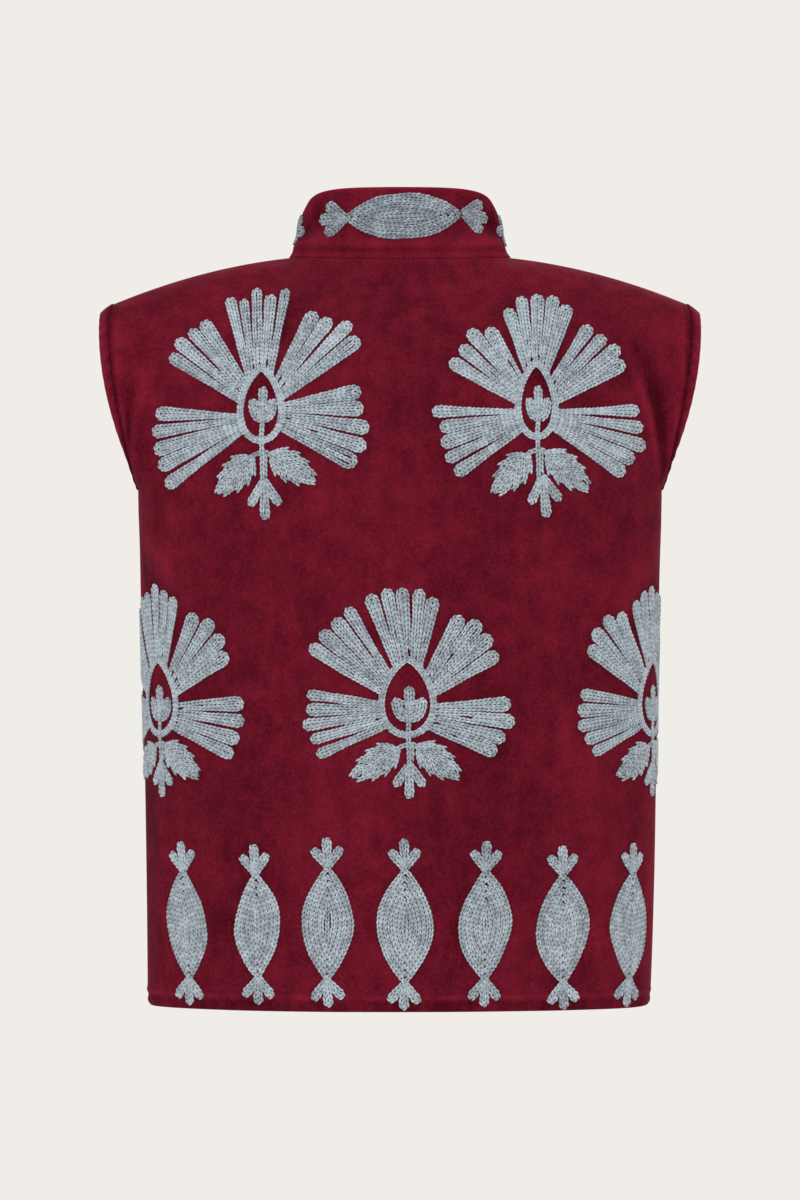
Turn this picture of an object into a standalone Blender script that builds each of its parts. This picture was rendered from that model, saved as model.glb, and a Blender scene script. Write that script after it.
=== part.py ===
"""A sleeveless velvet vest with a stand collar, standing open as it is worn on a general figure.

Units are metres. +Z is up, the wearer faces -Y, and the wearer's left side is at +X. The origin
lies midway between the two neck points, the places where the shoulder seams meet the collar.
The back and the two fronts are cloth walls that meet at the side and shoulder seams. The collar
stands on the neckline, and a bound band finishes each armhole. Every seam keeps a small gap.
"""

import math

import bpy
import numpy as np

# Cloth
CLOTH = 0.0020
HEM_CLOTH = 0.0030
COLLAR_CLOTH = 0.0030
BAND_CLOTH = 0.0034
BAND_PROUD = 0.0007
SEAM_GAP = 0.00034
ROUNDING = 0.35

# Body, measured on the outside of the cloth
HEM_Z = -0.597
HEM_TURN = 0.009
CHEST_Z = -0.186
CHEST_HALF_WIDTH = 0.2095
HEM_HALF_WIDTH = 0.1995
BACK_DEPTH_CHEST = 0.112
BACK_DEPTH_HEM = 0.104
FRONT_DEPTH_CHEST = 0.124
FRONT_DEPTH_HEM = 0.112
BODY_SQUARENESS = 2.2
FRONT_OPENING = 0.004

# Shoulder line and neckline
NECK_HALF_WIDTH = 0.089
BACK_NECK_DEPTH = 0.045
BACK_NECK_DROP = 0.003
FRONT_NECK_DEPTH = 0.072
FRONT_NECK_DROP = 0.058
FRONT_NECK_BEND = 1.3
SHOULDER_SEAM_END = 0.2290
SHOULDER_SLOPE = 0.11
SHOULDER_CURVE = 1.1
BACK_ROUNDNESS = 1.48
FRONT_ROUNDNESS = 1.32
BACK_NECK_PITCH = math.radians(52)
FRONT_NECK_PITCH = math.radians(60)

# Armhole: the seam where the band joins, and the band's free edge
SEAM_REACH_BACK = 0.050
SEAM_REACH_FRONT = 0.054
SEAM_FLARE = 0.0225
SEAM_FLARE_POWER = 1.6
FLARE_TOP_Z = -0.050
EDGE_TOP_Z = -0.043
EDGE_BOTTOM_Z = -0.177
EDGE_REACH_BACK = 0.043
EDGE_REACH_FRONT = 0.047
EDGE_FLARE = 0.030
CAP_START = 0.50

# Collar
COLLAR_TOP_HALF_WIDTH = 0.0740
COLLAR_TOP_BACK = 0.040
COLLAR_TOP_FRONT = 0.062
COLLAR_HEIGHT_BACK = 0.0545
COLLAR_DIP_SIDE = 0.0145
COLLAR_DIP_BEND = 2.2
COLLAR_DIP_FRONT = 0.0480
COLLAR_WAIST = 0.12

# Number of cells in each stretch of the cloth
NECK_CELLS = 7
SHOULDER_CELLS = 9
BODY_CELLS = 16
YOKE_CELLS = 15
YOKE_SPREAD = 1.35
EASING = 30
COLLAR_CELLS = 6

# Soft folds that hang in the body. "around" counts quarter turns from the centre back, positive
# towards the wearer's left, so 1 is a side seam and 2 the centre front.
FOLD_COLUMNS = ("around", "half_width", "depth", "fade_top")
FOLDS = (
    (-0.78, 0.17, 0.0030, -0.30),
    (-0.36, 0.15, -0.0018, -0.36),
    (0.22, 0.16, 0.0016, -0.33),
    (0.66, 0.15, -0.0022, -0.28),
    (0.93, 0.14, 0.0028, -0.34),
    (1.38, 0.18, 0.0030, -0.30),
    (1.74, 0.15, -0.0020, -0.38),
    (-1.30, 0.16, 0.0026, -0.34),
    (-1.68, 0.17, -0.0024, -0.30),
)

VELVET = {"name": "velvet", "color": (0.135, 0.011, 0.024), "roughness": 0.85}
SIDES = {"left": 1.0, "right": -1.0}


def smooth(x):
    """0 below 0, 1 above 1, and a soft ramp between."""
    t = np.clip(x, 0.0, 1.0)
    return t * t * (3.0 - 2.0 * t)


def unit(v):
    return v / np.maximum(np.linalg.norm(v, axis=-1, keepdims=True), 1e-12)


def mix(a, b, share):
    return a + (b - a) * share


def quarter_ring(half_width, depth, share):
    """Points on a quarter of a squared ellipse, at shares of its length from the centre line."""
    turn = np.linspace(0.0, math.pi / 2, 721)
    across = half_width * np.sin(turn) ** (2 / BODY_SQUARENESS)
    out = depth * np.cos(turn) ** (2 / BODY_SQUARENESS)
    length = np.concatenate([[0.0], np.cumsum(np.hypot(np.diff(across), np.diff(out)))])
    at = share * length[-1]
    return np.interp(at, length, across), np.interp(at, length, out)


def fold_height(around, z):
    """How far the hanging folds push the cloth out at a place round the body."""
    total = np.zeros(np.broadcast(around, z).shape)
    for row in FOLDS:
        fold = dict(zip(FOLD_COLUMNS, row))
        away = (around - fold["around"] + 2.0) % 4.0 - 2.0
        bump = np.exp(-((away / fold["half_width"]) ** 2) * 2.0)
        hang = smooth((fold["fade_top"] - z) / (fold["fade_top"] - HEM_Z))
        total = total + fold["depth"] * bump * hang
    return total


def body_ring(face, side, share, z):
    """Points of the body at height z. face is 1 on the back and -1 on the fronts."""
    low = (CHEST_Z - z) / (CHEST_Z - HEM_Z)
    depths = (
        (BACK_DEPTH_CHEST, BACK_DEPTH_HEM)
        if face > 0
        else (FRONT_DEPTH_CHEST, FRONT_DEPTH_HEM)
    )
    x, y = quarter_ring(
        mix(CHEST_HALF_WIDTH, HEM_HALF_WIDTH, low), mix(*depths, low), share
    )
    around = side * (share if face > 0 else 2.0 - share)
    push = 1.0 + fold_height(around, z) / np.hypot(x, y)
    return np.stack([side * x * push, face * y * push, np.full_like(x, z)], axis=-1)


def shoulder_z(x):
    """Height of the shoulder line at a distance x from the middle."""
    run = x - NECK_HALF_WIDTH
    return -(SHOULDER_SLOPE * run + SHOULDER_CURVE * run**2)


def neckline(turn):
    """The seam under the collar. turn runs from 0 at the centre back to pi at the centre front."""
    behind = turn <= math.pi / 2
    forward = np.maximum(-np.cos(turn), 0.0)
    depth = np.where(behind, BACK_NECK_DEPTH, FRONT_NECK_DEPTH)
    drop = FRONT_NECK_DROP * forward**FRONT_NECK_BEND
    drop = drop + BACK_NECK_DROP * np.maximum(np.cos(turn), 0.0) ** 2
    return np.stack(
        [NECK_HALF_WIDTH * np.sin(turn), depth * np.cos(turn), -drop], axis=-1
    )


def shares():
    """Places of the cloth's columns from the centre line to the side, the neck's first."""
    neck = NECK_HALF_WIDTH / SHOULDER_SEAM_END
    inner = np.linspace(0.0, neck, NECK_CELLS + 1)
    outer = np.linspace(neck, 1.0, SHOULDER_CELLS + 1)[1:]
    return np.concatenate([inner, outer])


def front_edge_turn():
    """Where the fronts stop on the neckline, half the opening short of the centre front."""
    return math.pi - math.asin(FRONT_OPENING / 2 / NECK_HALF_WIDTH)


def top_line(face):
    """Neckline and shoulder seam from the centre line to the armhole, at the columns' places."""
    if face > 0:
        turn = np.linspace(0.0, math.pi / 2, NECK_CELLS + 1)
    else:
        turn = np.linspace(front_edge_turn(), math.pi / 2, NECK_CELLS + 1)
    neck = neckline(turn)
    x = np.linspace(NECK_HALF_WIDTH, SHOULDER_SEAM_END, SHOULDER_CELLS + 1)[1:]
    shoulder = np.stack([x, np.zeros_like(x), shoulder_z(x)], axis=-1)
    return np.concatenate([neck, shoulder])


def armhole_seam(face, z):
    """The seam of the armhole band at height z, on the wearer's left."""
    top = shoulder_z(SHOULDER_SEAM_END)
    middle, half = (top + CHEST_Z) / 2, (top - CHEST_Z) / 2
    reach = SEAM_REACH_BACK if face > 0 else SEAM_REACH_FRONT
    y = reach * np.sqrt(np.maximum(1.0 - ((z - middle) / half) ** 2, 0.0))
    low = np.clip((FLARE_TOP_Z - z) / (FLARE_TOP_Z - CHEST_Z), 0.0, 1.0)
    near_top = np.clip((z - FLARE_TOP_Z) / (top - FLARE_TOP_Z), 0.0, 1.0)
    widest = CHEST_HALF_WIDTH + SEAM_FLARE
    x = widest - SEAM_FLARE * low**SEAM_FLARE_POWER
    x = x - (widest - SHOULDER_SEAM_END) * near_top**2
    return np.stack([x, face * y, z], axis=-1)


def armhole_edge(face, seam):
    """The band's free edge opposite each point of its seam, on the wearer's left."""
    top = shoulder_z(SHOULDER_SEAM_END)
    rise = (seam[:, 2] - CHEST_Z) / (top - CHEST_Z)
    z = mix(EDGE_BOTTOM_Z, EDGE_TOP_Z, rise)
    middle = 2.0 * rise - 1.0
    reach = EDGE_REACH_BACK if face > 0 else EDGE_REACH_FRONT
    y = reach * np.sqrt(np.maximum(1.0 - middle**2, 0.0))
    low = (FLARE_TOP_Z - z) / (FLARE_TOP_Z - EDGE_BOTTOM_Z)
    x = CHEST_HALF_WIDTH + EDGE_FLARE * (1.0 - low**2)
    return np.stack([x, face * y, z], axis=-1)


def yoke(face, side, share):
    """Cloth from the chest up to the neckline and shoulder, a curve for each column."""
    step = 0.001
    low = body_ring(face, 1.0, share, CHEST_Z)
    lean = (low - body_ring(face, 1.0, share, CHEST_Z - step)) / step
    high = top_line(face)
    roundness = BACK_ROUNDNESS if face > 0 else FRONT_ROUNDNESS
    rise = (high[:, 2] - low[:, 2])[:, None]
    run = np.abs(high[:, 1] - low[:, 1])[:, None]
    neck_share = NECK_HALF_WIDTH / SHOULDER_SEAM_END
    inside = np.clip(1.0 - (share / neck_share) ** 2, 0.0, 1.0)
    pitch = (BACK_NECK_PITCH if face > 0 else FRONT_NECK_PITCH) * inside
    level = np.zeros_like(pitch)
    arrive = np.stack([level, -face * np.cos(pitch), np.sin(pitch)], axis=-1)
    start = lean * rise * roundness
    end = arrive * np.hypot(run, rise * np.sin(pitch)[:, None]) * roundness

    t = (np.arange(1, YOKE_CELLS + 1) / YOKE_CELLS) ** YOKE_SPREAD
    t = t[:, None, None]
    points = (
        low * (2 * t**3 - 3 * t**2 + 1)
        + start * (t**3 - 2 * t**2 + t)
        + high * (3 * t**2 - 2 * t**3)
        + end * (t**3 - t**2)
    )
    outermost = points[:, -1]
    pull = armhole_seam(face, outermost[:, 2]) - outermost
    narrowness = 1.5 + 6.0 * (1.0 - t[:, :, 0]) ** 2
    blend = smooth((share - CAP_START) / (1.0 - CAP_START))[None, :] ** narrowness
    points = points + pull[:, None, :] * blend[:, :, None]
    return ease(points, t[:, :, 0]) * np.array([side, 1.0, 1.0])


def ease(points, t):
    """Even out the yoke from side to side, most at mid height and not at all along its edges."""
    hold = 0.25 * np.clip(6.0 * t**2 * (1.0 - t), 0.0, 1.0)
    for _ in range(EASING):
        padded = np.concatenate([points[:, 1:2], points], axis=1)
        bend = padded[:, :-2] - 2.0 * padded[:, 1:-1] + padded[:, 2:]
        points[:, :-1, 1:] += hold[..., None] * bend[..., 1:]
    return points


def half_panel(face, side):
    """Outer points of half the back or of one front, rows from the hem up, columns outwards."""
    share = shares()
    if face < 0:
        x, _ = quarter_ring(CHEST_HALF_WIDTH, FRONT_DEPTH_CHEST, share[1:2])
        share[0] = share[1] * (FRONT_OPENING / 2) / x[0]
    heights = np.concatenate(
        [[HEM_Z], np.linspace(HEM_Z + HEM_TURN, CHEST_Z, BODY_CELLS)]
    )
    body = np.stack([body_ring(face, side, share, z) for z in heights])
    return np.concatenate([body, yoke(face, side, share)])


def collar_half(side):
    """Outer points of half the collar, rows from the neckline up, columns from the centre back."""
    back = np.linspace(0.0, math.pi / 2, NECK_CELLS + 1)
    front = np.linspace(math.pi / 2, front_edge_turn(), NECK_CELLS + 1)[1:]
    turn = np.concatenate([back, front])
    base = neckline(turn)
    forward = np.maximum(-np.cos(turn), 0.0)
    depth = np.where(turn <= math.pi / 2, COLLAR_TOP_BACK, COLLAR_TOP_FRONT)
    side_dip = COLLAR_DIP_SIDE * (1.0 - np.maximum(np.cos(turn), 0.0)) ** COLLAR_DIP_BEND
    z = COLLAR_HEIGHT_BACK - side_dip - COLLAR_DIP_FRONT * forward**FRONT_NECK_BEND
    x = COLLAR_TOP_HALF_WIDTH * np.sin(turn)
    x[-1] = base[-1, 0]
    top = np.stack([x, depth * np.cos(turn), z], axis=-1)
    up = np.linspace(0.0, 1.0, COLLAR_CELLS + 1)[:, None, None]
    lean_in = up + COLLAR_WAIST * np.sin(2 * math.pi * up)
    points = base + (top - base) * np.concatenate([lean_in, lean_in, up], axis=2)
    return points * np.array([side, 1.0, 1.0])


def grid_normals(points, outward, closed=False):
    """Unit normals of a grid of points, turned to agree with a direction at its middle."""
    if closed:
        along = np.roll(points, -1, axis=1) - np.roll(points, 1, axis=1)
    else:
        along = np.gradient(points, axis=1)
    up = np.gradient(points, axis=0)
    normal = unit(np.cross(along, up))
    middle = normal[points.shape[0] // 2, points.shape[1] // 2]
    return normal if np.dot(middle, outward) > 0 else -normal


class Piece:
    """One cut piece of cloth: its outer points, their normals, and how its wall is set in."""

    def __init__(self, name, points, outward, cloth, proud=0.0, closed=False):
        self.name = name
        self.points = points
        self.closed = closed
        self.normal = grid_normals(points, np.array(outward), closed)
        self.cloth = np.full(points.shape[:2], cloth)
        self.proud = proud
        self.stretch = np.ones(points.shape[:2])
        self.shift = np.zeros_like(points)
        self.rounded = set()

    def meet(self, rows, columns, other_normal):
        """Mitre the wall against a neighbour whose normals are given, along one edge."""
        own = self.normal[rows, columns]
        middle = unit(own + other_normal)
        self.normal[rows, columns] = middle
        slant = np.maximum(np.sum(middle * own, axis=-1), 0.7)
        self.stretch[rows, columns] /= slant

    def draw_back(self, rows, columns, inner_rows, inner_columns):
        """Move an edge half a seam gap into the piece, square to the edge."""
        edge = self.points[rows, columns]
        inward = self.points[inner_rows, inner_columns] - edge
        run = unit(np.gradient(edge, axis=0))
        inward = unit(inward - run * np.sum(inward * run, axis=-1, keepdims=True))
        gap = SEAM_GAP / 2 * self.stretch[rows, columns][:, None]
        self.shift[rows, columns] += inward * gap

    def walls(self):
        """Outer, middle and inner points of the wall."""
        reach = (self.normal * self.stretch[..., None]).copy()
        base = self.points + self.shift
        outer = base + reach * self.proud
        inner = base - reach * (self.cloth - self.proud)[..., None]
        return outer, (outer + inner) / 2, inner


def share_normals(first, first_at, second, second_at):
    """Give two pieces the same normals along a seam that they share."""
    middle = unit(first.normal[first_at] + second.normal[second_at])
    first.normal[first_at] = middle
    second.normal[second_at] = middle


def wall_object(piece):
    """A closed cloth wall: its outer and inner faces, and a rim of two rows round its edges."""
    outer, middle, inner = piece.walls()
    rows, columns = outer.shape[:2]
    thick = np.linalg.norm(outer - inner, axis=-1, keepdims=True)
    bulge = np.zeros_like(middle)
    edges = {
        "bottom": (0, slice(None), 1, slice(None)),
        "top": (-1, slice(None), -2, slice(None)),
        "first": (slice(None), 0, slice(None), 1),
        "last": (slice(None), -1, slice(None), -2),
    }
    for edge in piece.rounded:
        i, j, k, m = edges[edge]
        outwards = unit(middle[i, j] - middle[k, m])
        bulge[i, j] += outwards * thick[i, j] * ROUNDING
    for row, edge in ((0, "bottom"), (-1, "top")):
        if edge not in piece.rounded:
            bulge[row] = 0.0
    middle = middle + bulge

    index = np.arange(rows * columns).reshape(rows, columns)
    count = rows * columns
    rim = {}

    def rim_index(i, j):
        place = (i, j % columns)
        if place not in rim:
            rim[place] = len(rim)
        return 2 * count + rim[place]

    faces = []
    last = columns if piece.closed else columns - 1
    for i in range(rows - 1):
        for j in range(last):
            k = (j + 1) % columns
            a, b = index[i, j], index[i, k]
            c, d = index[i + 1, k], index[i + 1, j]
            faces.append((a, b, c, d))
            faces.append((count + d, count + c, count + b, count + a))

    def add_rim(i, j, k, m):
        a, b = index[i, j % columns], index[k, m % columns]
        p, q = rim_index(i, j), rim_index(k, m)
        faces.append((b, a, p, q))
        faces.append((q, p, count + a, count + b))

    for j in range(last):
        add_rim(0, j, 0, j + 1)
        add_rim(rows - 1, j + 1, rows - 1, j)
    if not piece.closed:
        for i in range(rows - 1):
            add_rim(i + 1, 0, i, 0)
            add_rim(i, columns - 1, i + 1, columns - 1)

    middles = [middle[i, j] for i, j in rim]
    points = np.concatenate([outer.reshape(-1, 3), inner.reshape(-1, 3), middles])
    mesh = bpy.data.meshes.new(piece.name)
    mesh.from_pydata(points.tolist(), [], [tuple(map(int, f)) for f in faces])
    mesh.update()
    first = mesh.polygons[2 * (rows // 2) * last]
    place = piece.normal[rows // 2, 0]
    if np.dot(np.array(first.normal), place) < 0:
        mesh.flip_normals()
    mesh.shade_smooth()
    mesh.set_sharp_from_angle(angle=math.radians(50))
    mesh.materials.append(velvet_material(piece.name))
    thing = bpy.data.objects.new(piece.name, mesh)
    bpy.context.scene.collection.objects.link(thing)
    return thing


def velvet_material(piece_name):
    material = bpy.data.materials.new(f"{piece_name}_{VELVET['name']}")
    material.use_nodes = True
    shader = material.node_tree.nodes["Principled BSDF"]
    shader.inputs["Base Color"].default_value = (*VELVET["color"], 1.0)
    shader.inputs["Roughness"].default_value = VELVET["roughness"]
    shader.inputs["Metallic"].default_value = 0.0
    return material


def thicken_hem(piece):
    """The turned-up hem is a second layer of cloth inside the lowest two rows."""
    piece.cloth[:2] = HEM_CLOTH


def cut_panels():
    """The back, and a front for each side."""
    halves = {name: half_panel(1, side) for name, side in SIDES.items()}
    back_points = np.concatenate([halves["right"][:, :0:-1], halves["left"]], axis=1)
    back = Piece("back", back_points, (0, 1, 0), CLOTH)
    back.rounded = {"bottom"}
    thicken_hem(back)
    fronts = {}
    for name, side in SIDES.items():
        front = Piece(f"front_{name}", half_panel(-1, side), (side * 0.3, -1, 0), CLOTH)
        front.rounded = {"bottom", "first"}
        thicken_hem(front)
        fronts[name] = front
    return back, fronts


def cut_collar():
    halves = {name: collar_half(side) for name, side in SIDES.items()}
    points = np.concatenate([halves["right"][:, :0:-1], halves["left"]], axis=1)
    collar = Piece("collar", points, (0, 1, 0), COLLAR_CLOTH)
    collar.rounded = {"top", "first", "last"}
    return collar


def cut_band(name, side):
    """A ring round one armhole, up the back from the underarm and down the front again."""
    flip = np.array([side, 1.0, 1.0])
    loops = []
    for face in (1, -1):
        seam = half_panel(face, 1.0)[BODY_CELLS:, -1]
        edge = armhole_edge(face, seam)
        loops.append((seam, edge))
    (back_seam, back_edge), (front_seam, front_edge) = loops
    seam = np.concatenate([back_seam, front_seam[-2:0:-1]]) * flip
    edge = np.concatenate([back_edge, front_edge[-2:0:-1]]) * flip
    middle = mix(seam, edge, 0.5)
    points = np.stack([seam, middle, edge])
    band = Piece(
        f"armhole_band_{name}", points, (side, 0, 0), BAND_CLOTH, BAND_PROUD, closed=True
    )
    back_side = band.normal[1, YOKE_CELLS // 2]
    if back_side[1] < 0:
        band.normal = -band.normal
    band.rounded = {"top"}
    return band


def join_seams(back, fronts, collar, bands):
    """Fit the pieces to each other along every seam."""
    rows = back.points.shape[0]
    columns = back.points.shape[1]
    centre = columns // 2
    seam_from = centre + NECK_CELLS
    underarm = BODY_CELLS
    all_rows = np.arange(rows)
    side_rows = np.arange(underarm + 1)
    hole_rows = np.arange(underarm, rows)

    for name, side in SIDES.items():
        front = fronts[name]
        step = int(side)
        edge_column = centre + step * (columns // 2)
        front_shoulder = np.arange(NECK_CELLS, front.points.shape[1])
        back_shoulder = centre + step * front_shoulder
        share_normals(back, (side_rows, edge_column), front, (side_rows, -1))
        top_row = np.full_like(front_shoulder, rows - 1)
        share_normals(back, (top_row, back_shoulder), front, (top_row, front_shoulder))

    back_normal = back.normal.copy()
    collar_normal = collar.normal.copy()
    neck = np.arange(centre - NECK_CELLS, seam_from + 1)
    collar_columns = np.arange(NECK_CELLS, 3 * NECK_CELLS + 1)
    back.meet(rows - 1, neck, collar_normal[0, collar_columns])

    for name, side in SIDES.items():
        front, band = fronts[name], bands[name]
        step = int(side)
        front_normal = front.normal.copy()
        front_neck = np.arange(NECK_CELLS + 1)
        collar_centre = 2 * NECK_CELLS
        collar_front = collar_centre + step * (2 * NECK_CELLS - front_neck)
        front.meet(rows - 1, front_neck, collar_normal[0, collar_front])

        edge_column = centre + step * (columns // 2)
        band_back = np.arange(YOKE_CELLS + 1)
        band_front = (-np.arange(YOKE_CELLS + 1)) % band.points.shape[1]
        band_normal = band.normal.copy()
        panel_normal = np.zeros_like(band_normal[0])
        panel_normal[band_front] = front_normal[hole_rows, -1]
        panel_normal[band_back] = back_normal[hole_rows, edge_column]
        back.meet(hole_rows, edge_column, band_normal[0, band_back])
        front.meet(hole_rows, -1, band_normal[0, band_front])
        band.meet(0, np.arange(band.points.shape[1]), panel_normal)

        own_neck = np.arange(collar_centre, collar_centre + step * (NECK_CELLS + 1), step)
        panel_at_neck = np.zeros_like(collar_normal[0])
        panel_at_neck[collar_front] = front_normal[rows - 1, front_neck]
        back_neck = centre + step * np.arange(NECK_CELLS + 1)
        panel_at_neck[own_neck] = back_normal[rows - 1, back_neck]
        if side > 0:
            half = np.arange(collar_centre, collar.points.shape[1])
        else:
            half = np.arange(collar_centre - 1, -1, -1)
        collar.meet(0, half, panel_at_neck[half])

    for name, side in SIDES.items():
        front, band = fronts[name], bands[name]
        edge_column = 0 if side < 0 else columns - 1
        inner_column = 1 if side < 0 else columns - 2
        front_columns = np.arange(front.points.shape[1])
        back.draw_back(all_rows, edge_column, all_rows, inner_column)
        front.draw_back(all_rows, -1, all_rows, -2)
        front.draw_back(-1, front_columns, -2, front_columns)
        around = np.arange(band.points.shape[1])
        band.draw_back(0, around, 1, around)
    back_columns = np.arange(columns)
    back.draw_back(-1, back_columns, -2, back_columns)
    collar_around = np.arange(collar.points.shape[1])
    collar.draw_back(0, collar_around, 1, collar_around)


def main():
    for thing in list(bpy.data.objects):
        bpy.data.objects.remove(thing)
    back, fronts = cut_panels()
    collar = cut_collar()
    bands = {name: cut_band(name, side) for name, side in SIDES.items()}
    join_seams(back, fronts, collar, bands)
    for piece in (back, *fronts.values(), collar, *bands.values()):
        wall_object(piece)


main()
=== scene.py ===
"""A burgundy velvet vest with a stand collar, embroidered in grey-blue chain stitch.

Metres, +Z up. The wearer faces -Y, so the back faces +Y, and the wearer's left is +X. Heights
are counted from the neck points, where the shoulder seams meet the collar.
"""

import math

import bpy
import numpy as np
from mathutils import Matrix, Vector
from mathutils.bvhtree import BVHTree


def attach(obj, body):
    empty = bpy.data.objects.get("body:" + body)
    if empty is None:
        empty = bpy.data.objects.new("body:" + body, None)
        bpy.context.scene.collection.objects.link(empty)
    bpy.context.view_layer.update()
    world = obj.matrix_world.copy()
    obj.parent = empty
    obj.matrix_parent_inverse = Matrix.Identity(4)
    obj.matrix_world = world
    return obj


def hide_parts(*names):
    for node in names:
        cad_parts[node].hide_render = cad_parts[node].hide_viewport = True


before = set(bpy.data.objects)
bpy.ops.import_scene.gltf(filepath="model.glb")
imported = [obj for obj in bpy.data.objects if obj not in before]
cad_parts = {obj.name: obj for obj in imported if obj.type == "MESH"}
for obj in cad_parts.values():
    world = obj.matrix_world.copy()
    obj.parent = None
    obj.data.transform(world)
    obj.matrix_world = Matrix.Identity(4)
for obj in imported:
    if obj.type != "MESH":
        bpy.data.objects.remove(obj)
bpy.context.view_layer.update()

# Camera
# It looks at the back from five metres, level with the middle of the vest.
VIEW_DISTANCE = 5.0
VIEW_HEIGHT = -0.2736
LENS_MM = 187.5
SENSOR_MM = 36
FARTHEST_SEEN = 40
bpy.ops.object.camera_add(
    location=(0, VIEW_DISTANCE, VIEW_HEIGHT),
    rotation=(math.radians(90), 0, math.radians(180)),
)
camera = bpy.context.object
camera.name = "view_of_the_back"
camera.data.lens = LENS_MM
camera.data.sensor_width = SENSOR_MM
camera.data.clip_end = FARTHEST_SEEN
bpy.context.scene.camera = camera

# The back
# One piece of cotton velvet, cut from the hem up to the neck and over to the shoulder seams.
# It hangs almost straight from the shoulder blades, with a hem turned up inside by 9 mm.
CLOTH = 0.0020
CLOTH_EDGE = 0.0006
HEM_Z = -0.597
HEM_TURN = 0.009
CHEST_Z = -0.186
CHEST_HALF_WIDTH = 0.2095
HEM_HALF_WIDTH = 0.1995
BACK_DEPTHS = (0.112, 0.104)
FRONT_DEPTHS = (0.124, 0.112)
BODY_SQUARENESS = 2.2
FRONT_OPENING = 0.004
NECK_HALF_WIDTH = 0.089
BACK_NECK_DEPTH = 0.045
BACK_NECK_DROP = 0.003
FRONT_NECK_DEPTH = 0.072
FRONT_NECK_DROP = 0.058
FRONT_NECK_BEND = 1.3
SHOULDER_SEAM_END = 0.2290
SHOULDER_SLOPE = 0.11
SHOULDER_CURVE = 1.1
BACK_ROUNDNESS = 1.48
FRONT_ROUNDNESS = 1.32
BACK_NECK_PITCH = math.radians(52)
FRONT_NECK_PITCH = math.radians(60)
ARMHOLE_REACH_BACK = 0.050
ARMHOLE_REACH_FRONT = 0.054
ARMHOLE_FLARE = 0.0225
ARMHOLE_FLARE_POWER = 1.6
FLARE_TOP_Z = -0.050
CAP_START = 0.50
NECK_CELLS = 7
SHOULDER_CELLS = 9
YOKE_CELLS = 15
YOKE_SPREAD = 1.35
EASING = 30
FINER = 4
BODY_ROWS = 74

# Soft folds of the hanging body. "around" counts quarter turns from the centre back.
FOLD_COLUMNS = ("around", "half_width", "depth", "fade_top")
FOLDS = (
    (-0.78, 0.17, 0.0030, -0.30),
    (-0.36, 0.15, -0.0018, -0.36),
    (0.22, 0.16, 0.0016, -0.33),
    (0.66, 0.15, -0.0022, -0.28),
    (0.93, 0.14, 0.0028, -0.34),
    (1.38, 0.18, 0.0030, -0.30),
    (1.74, 0.15, -0.0020, -0.38),
    (-1.30, 0.16, 0.0026, -0.34),
    (-1.68, 0.17, -0.0024, -0.30),
)

# Creases in millimetres. "around" is counted along the cloth from the centre back, positive
# towards the wearer's left, and a positive depth is a ridge.
CREASE_COLUMNS = ("around", "height", "to_around", "to_height", "half_width", "depth")
BODY_CREASES = (
    (-232, -186, -193, -60, 4.5, 2.8),
    (-246, -184, -212, -78, 7, -2.6),
    (-234, -150, -196, -60, 9, -1.6),
    (-246, -214, -176, -292, 13, 1.8),
    (-250, -240, -150, -352, 17, -1.4),
    (-205, -60, -160, -140, 15, -1.2),
    (246, -204, 172, -276, 12, 1.8),
    (250, -226, 158, -330, 16, -1.5),
    (252, -178, 214, -84, 6, 1.7),
    (256, -176, 232, -96, 6, -2.0),
    (198, -66, 150, -128, 16, 1.0),
    (-80, -22, -128, -120, 22, -1.3),
    (84, -20, 120, -108, 20, -1.2),
    (-40, -250, -90, -460, 24, -1.0),
    (30, -300, 70, -520, 26, 1.2),
    (110, -380, 150, -585, 18, -1.4),
    (-150, -360, -185, -590, 19, 1.5),
    (-60, -470, -48, -598, 16, -1.1),
    (232, -330, 244, -596, 17, -1.8),
    (-236, -350, -250, -596, 18, 1.7),
    (290, -196, 372, -300, 15, -2.4),
    (284, -186, 330, -100, 9, 2.4),
    (300, -230, 400, -372, 20, 1.8),
    (440, -60, 392, -178, 20, -1.6),
    (350, -330, 380, -590, 22, 1.8),
    (470, -260, 452, -560, 18, -1.5),
    (516, -140, 508, -420, 14, 1.2),
    (-288, -198, -362, -286, 14, 2.0),
    (-282, -184, -326, -92, 9, -2.6),
    (-306, -236, -418, -390, 22, -1.9),
    (-446, -56, -400, -190, 19, -1.4),
    (-344, -300, -366, -592, 20, -1.7),
    (-462, -320, -478, -588, 19, 1.7),
    (-514, -180, -504, -480, 15, -1.1),
)


def soft_step(x):
    t = np.clip(x, 0.0, 1.0)
    return t * t * (3.0 - 2.0 * t)


def blend(a, b, share):
    return a + (b - a) * share


def bell(away, half_width):
    """One on a line, fading to nothing on both sides of it."""
    return np.exp(-((away / half_width) ** 2))


def unit(vectors):
    return vectors / np.maximum(np.linalg.norm(vectors, axis=-1, keepdims=True), 1e-9)


def lengths_along(points):
    """How far along a line of points each point lies."""
    steps = np.linalg.norm(np.diff(points, axis=0), axis=1)
    return np.concatenate([[0.0], np.cumsum(steps)])


def quarter_ring(half_width, depth, share):
    """Points on a quarter of the body's section, at shares of its length from the centre."""
    turn = np.linspace(0.0, math.pi / 2, 721)
    across = half_width * np.sin(turn) ** (2 / BODY_SQUARENESS)
    out = depth * np.cos(turn) ** (2 / BODY_SQUARENESS)
    length = np.concatenate([[0.0], np.cumsum(np.hypot(np.diff(across), np.diff(out)))])
    at = share * length[-1]
    return np.interp(at, length, across), np.interp(at, length, out)


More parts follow.
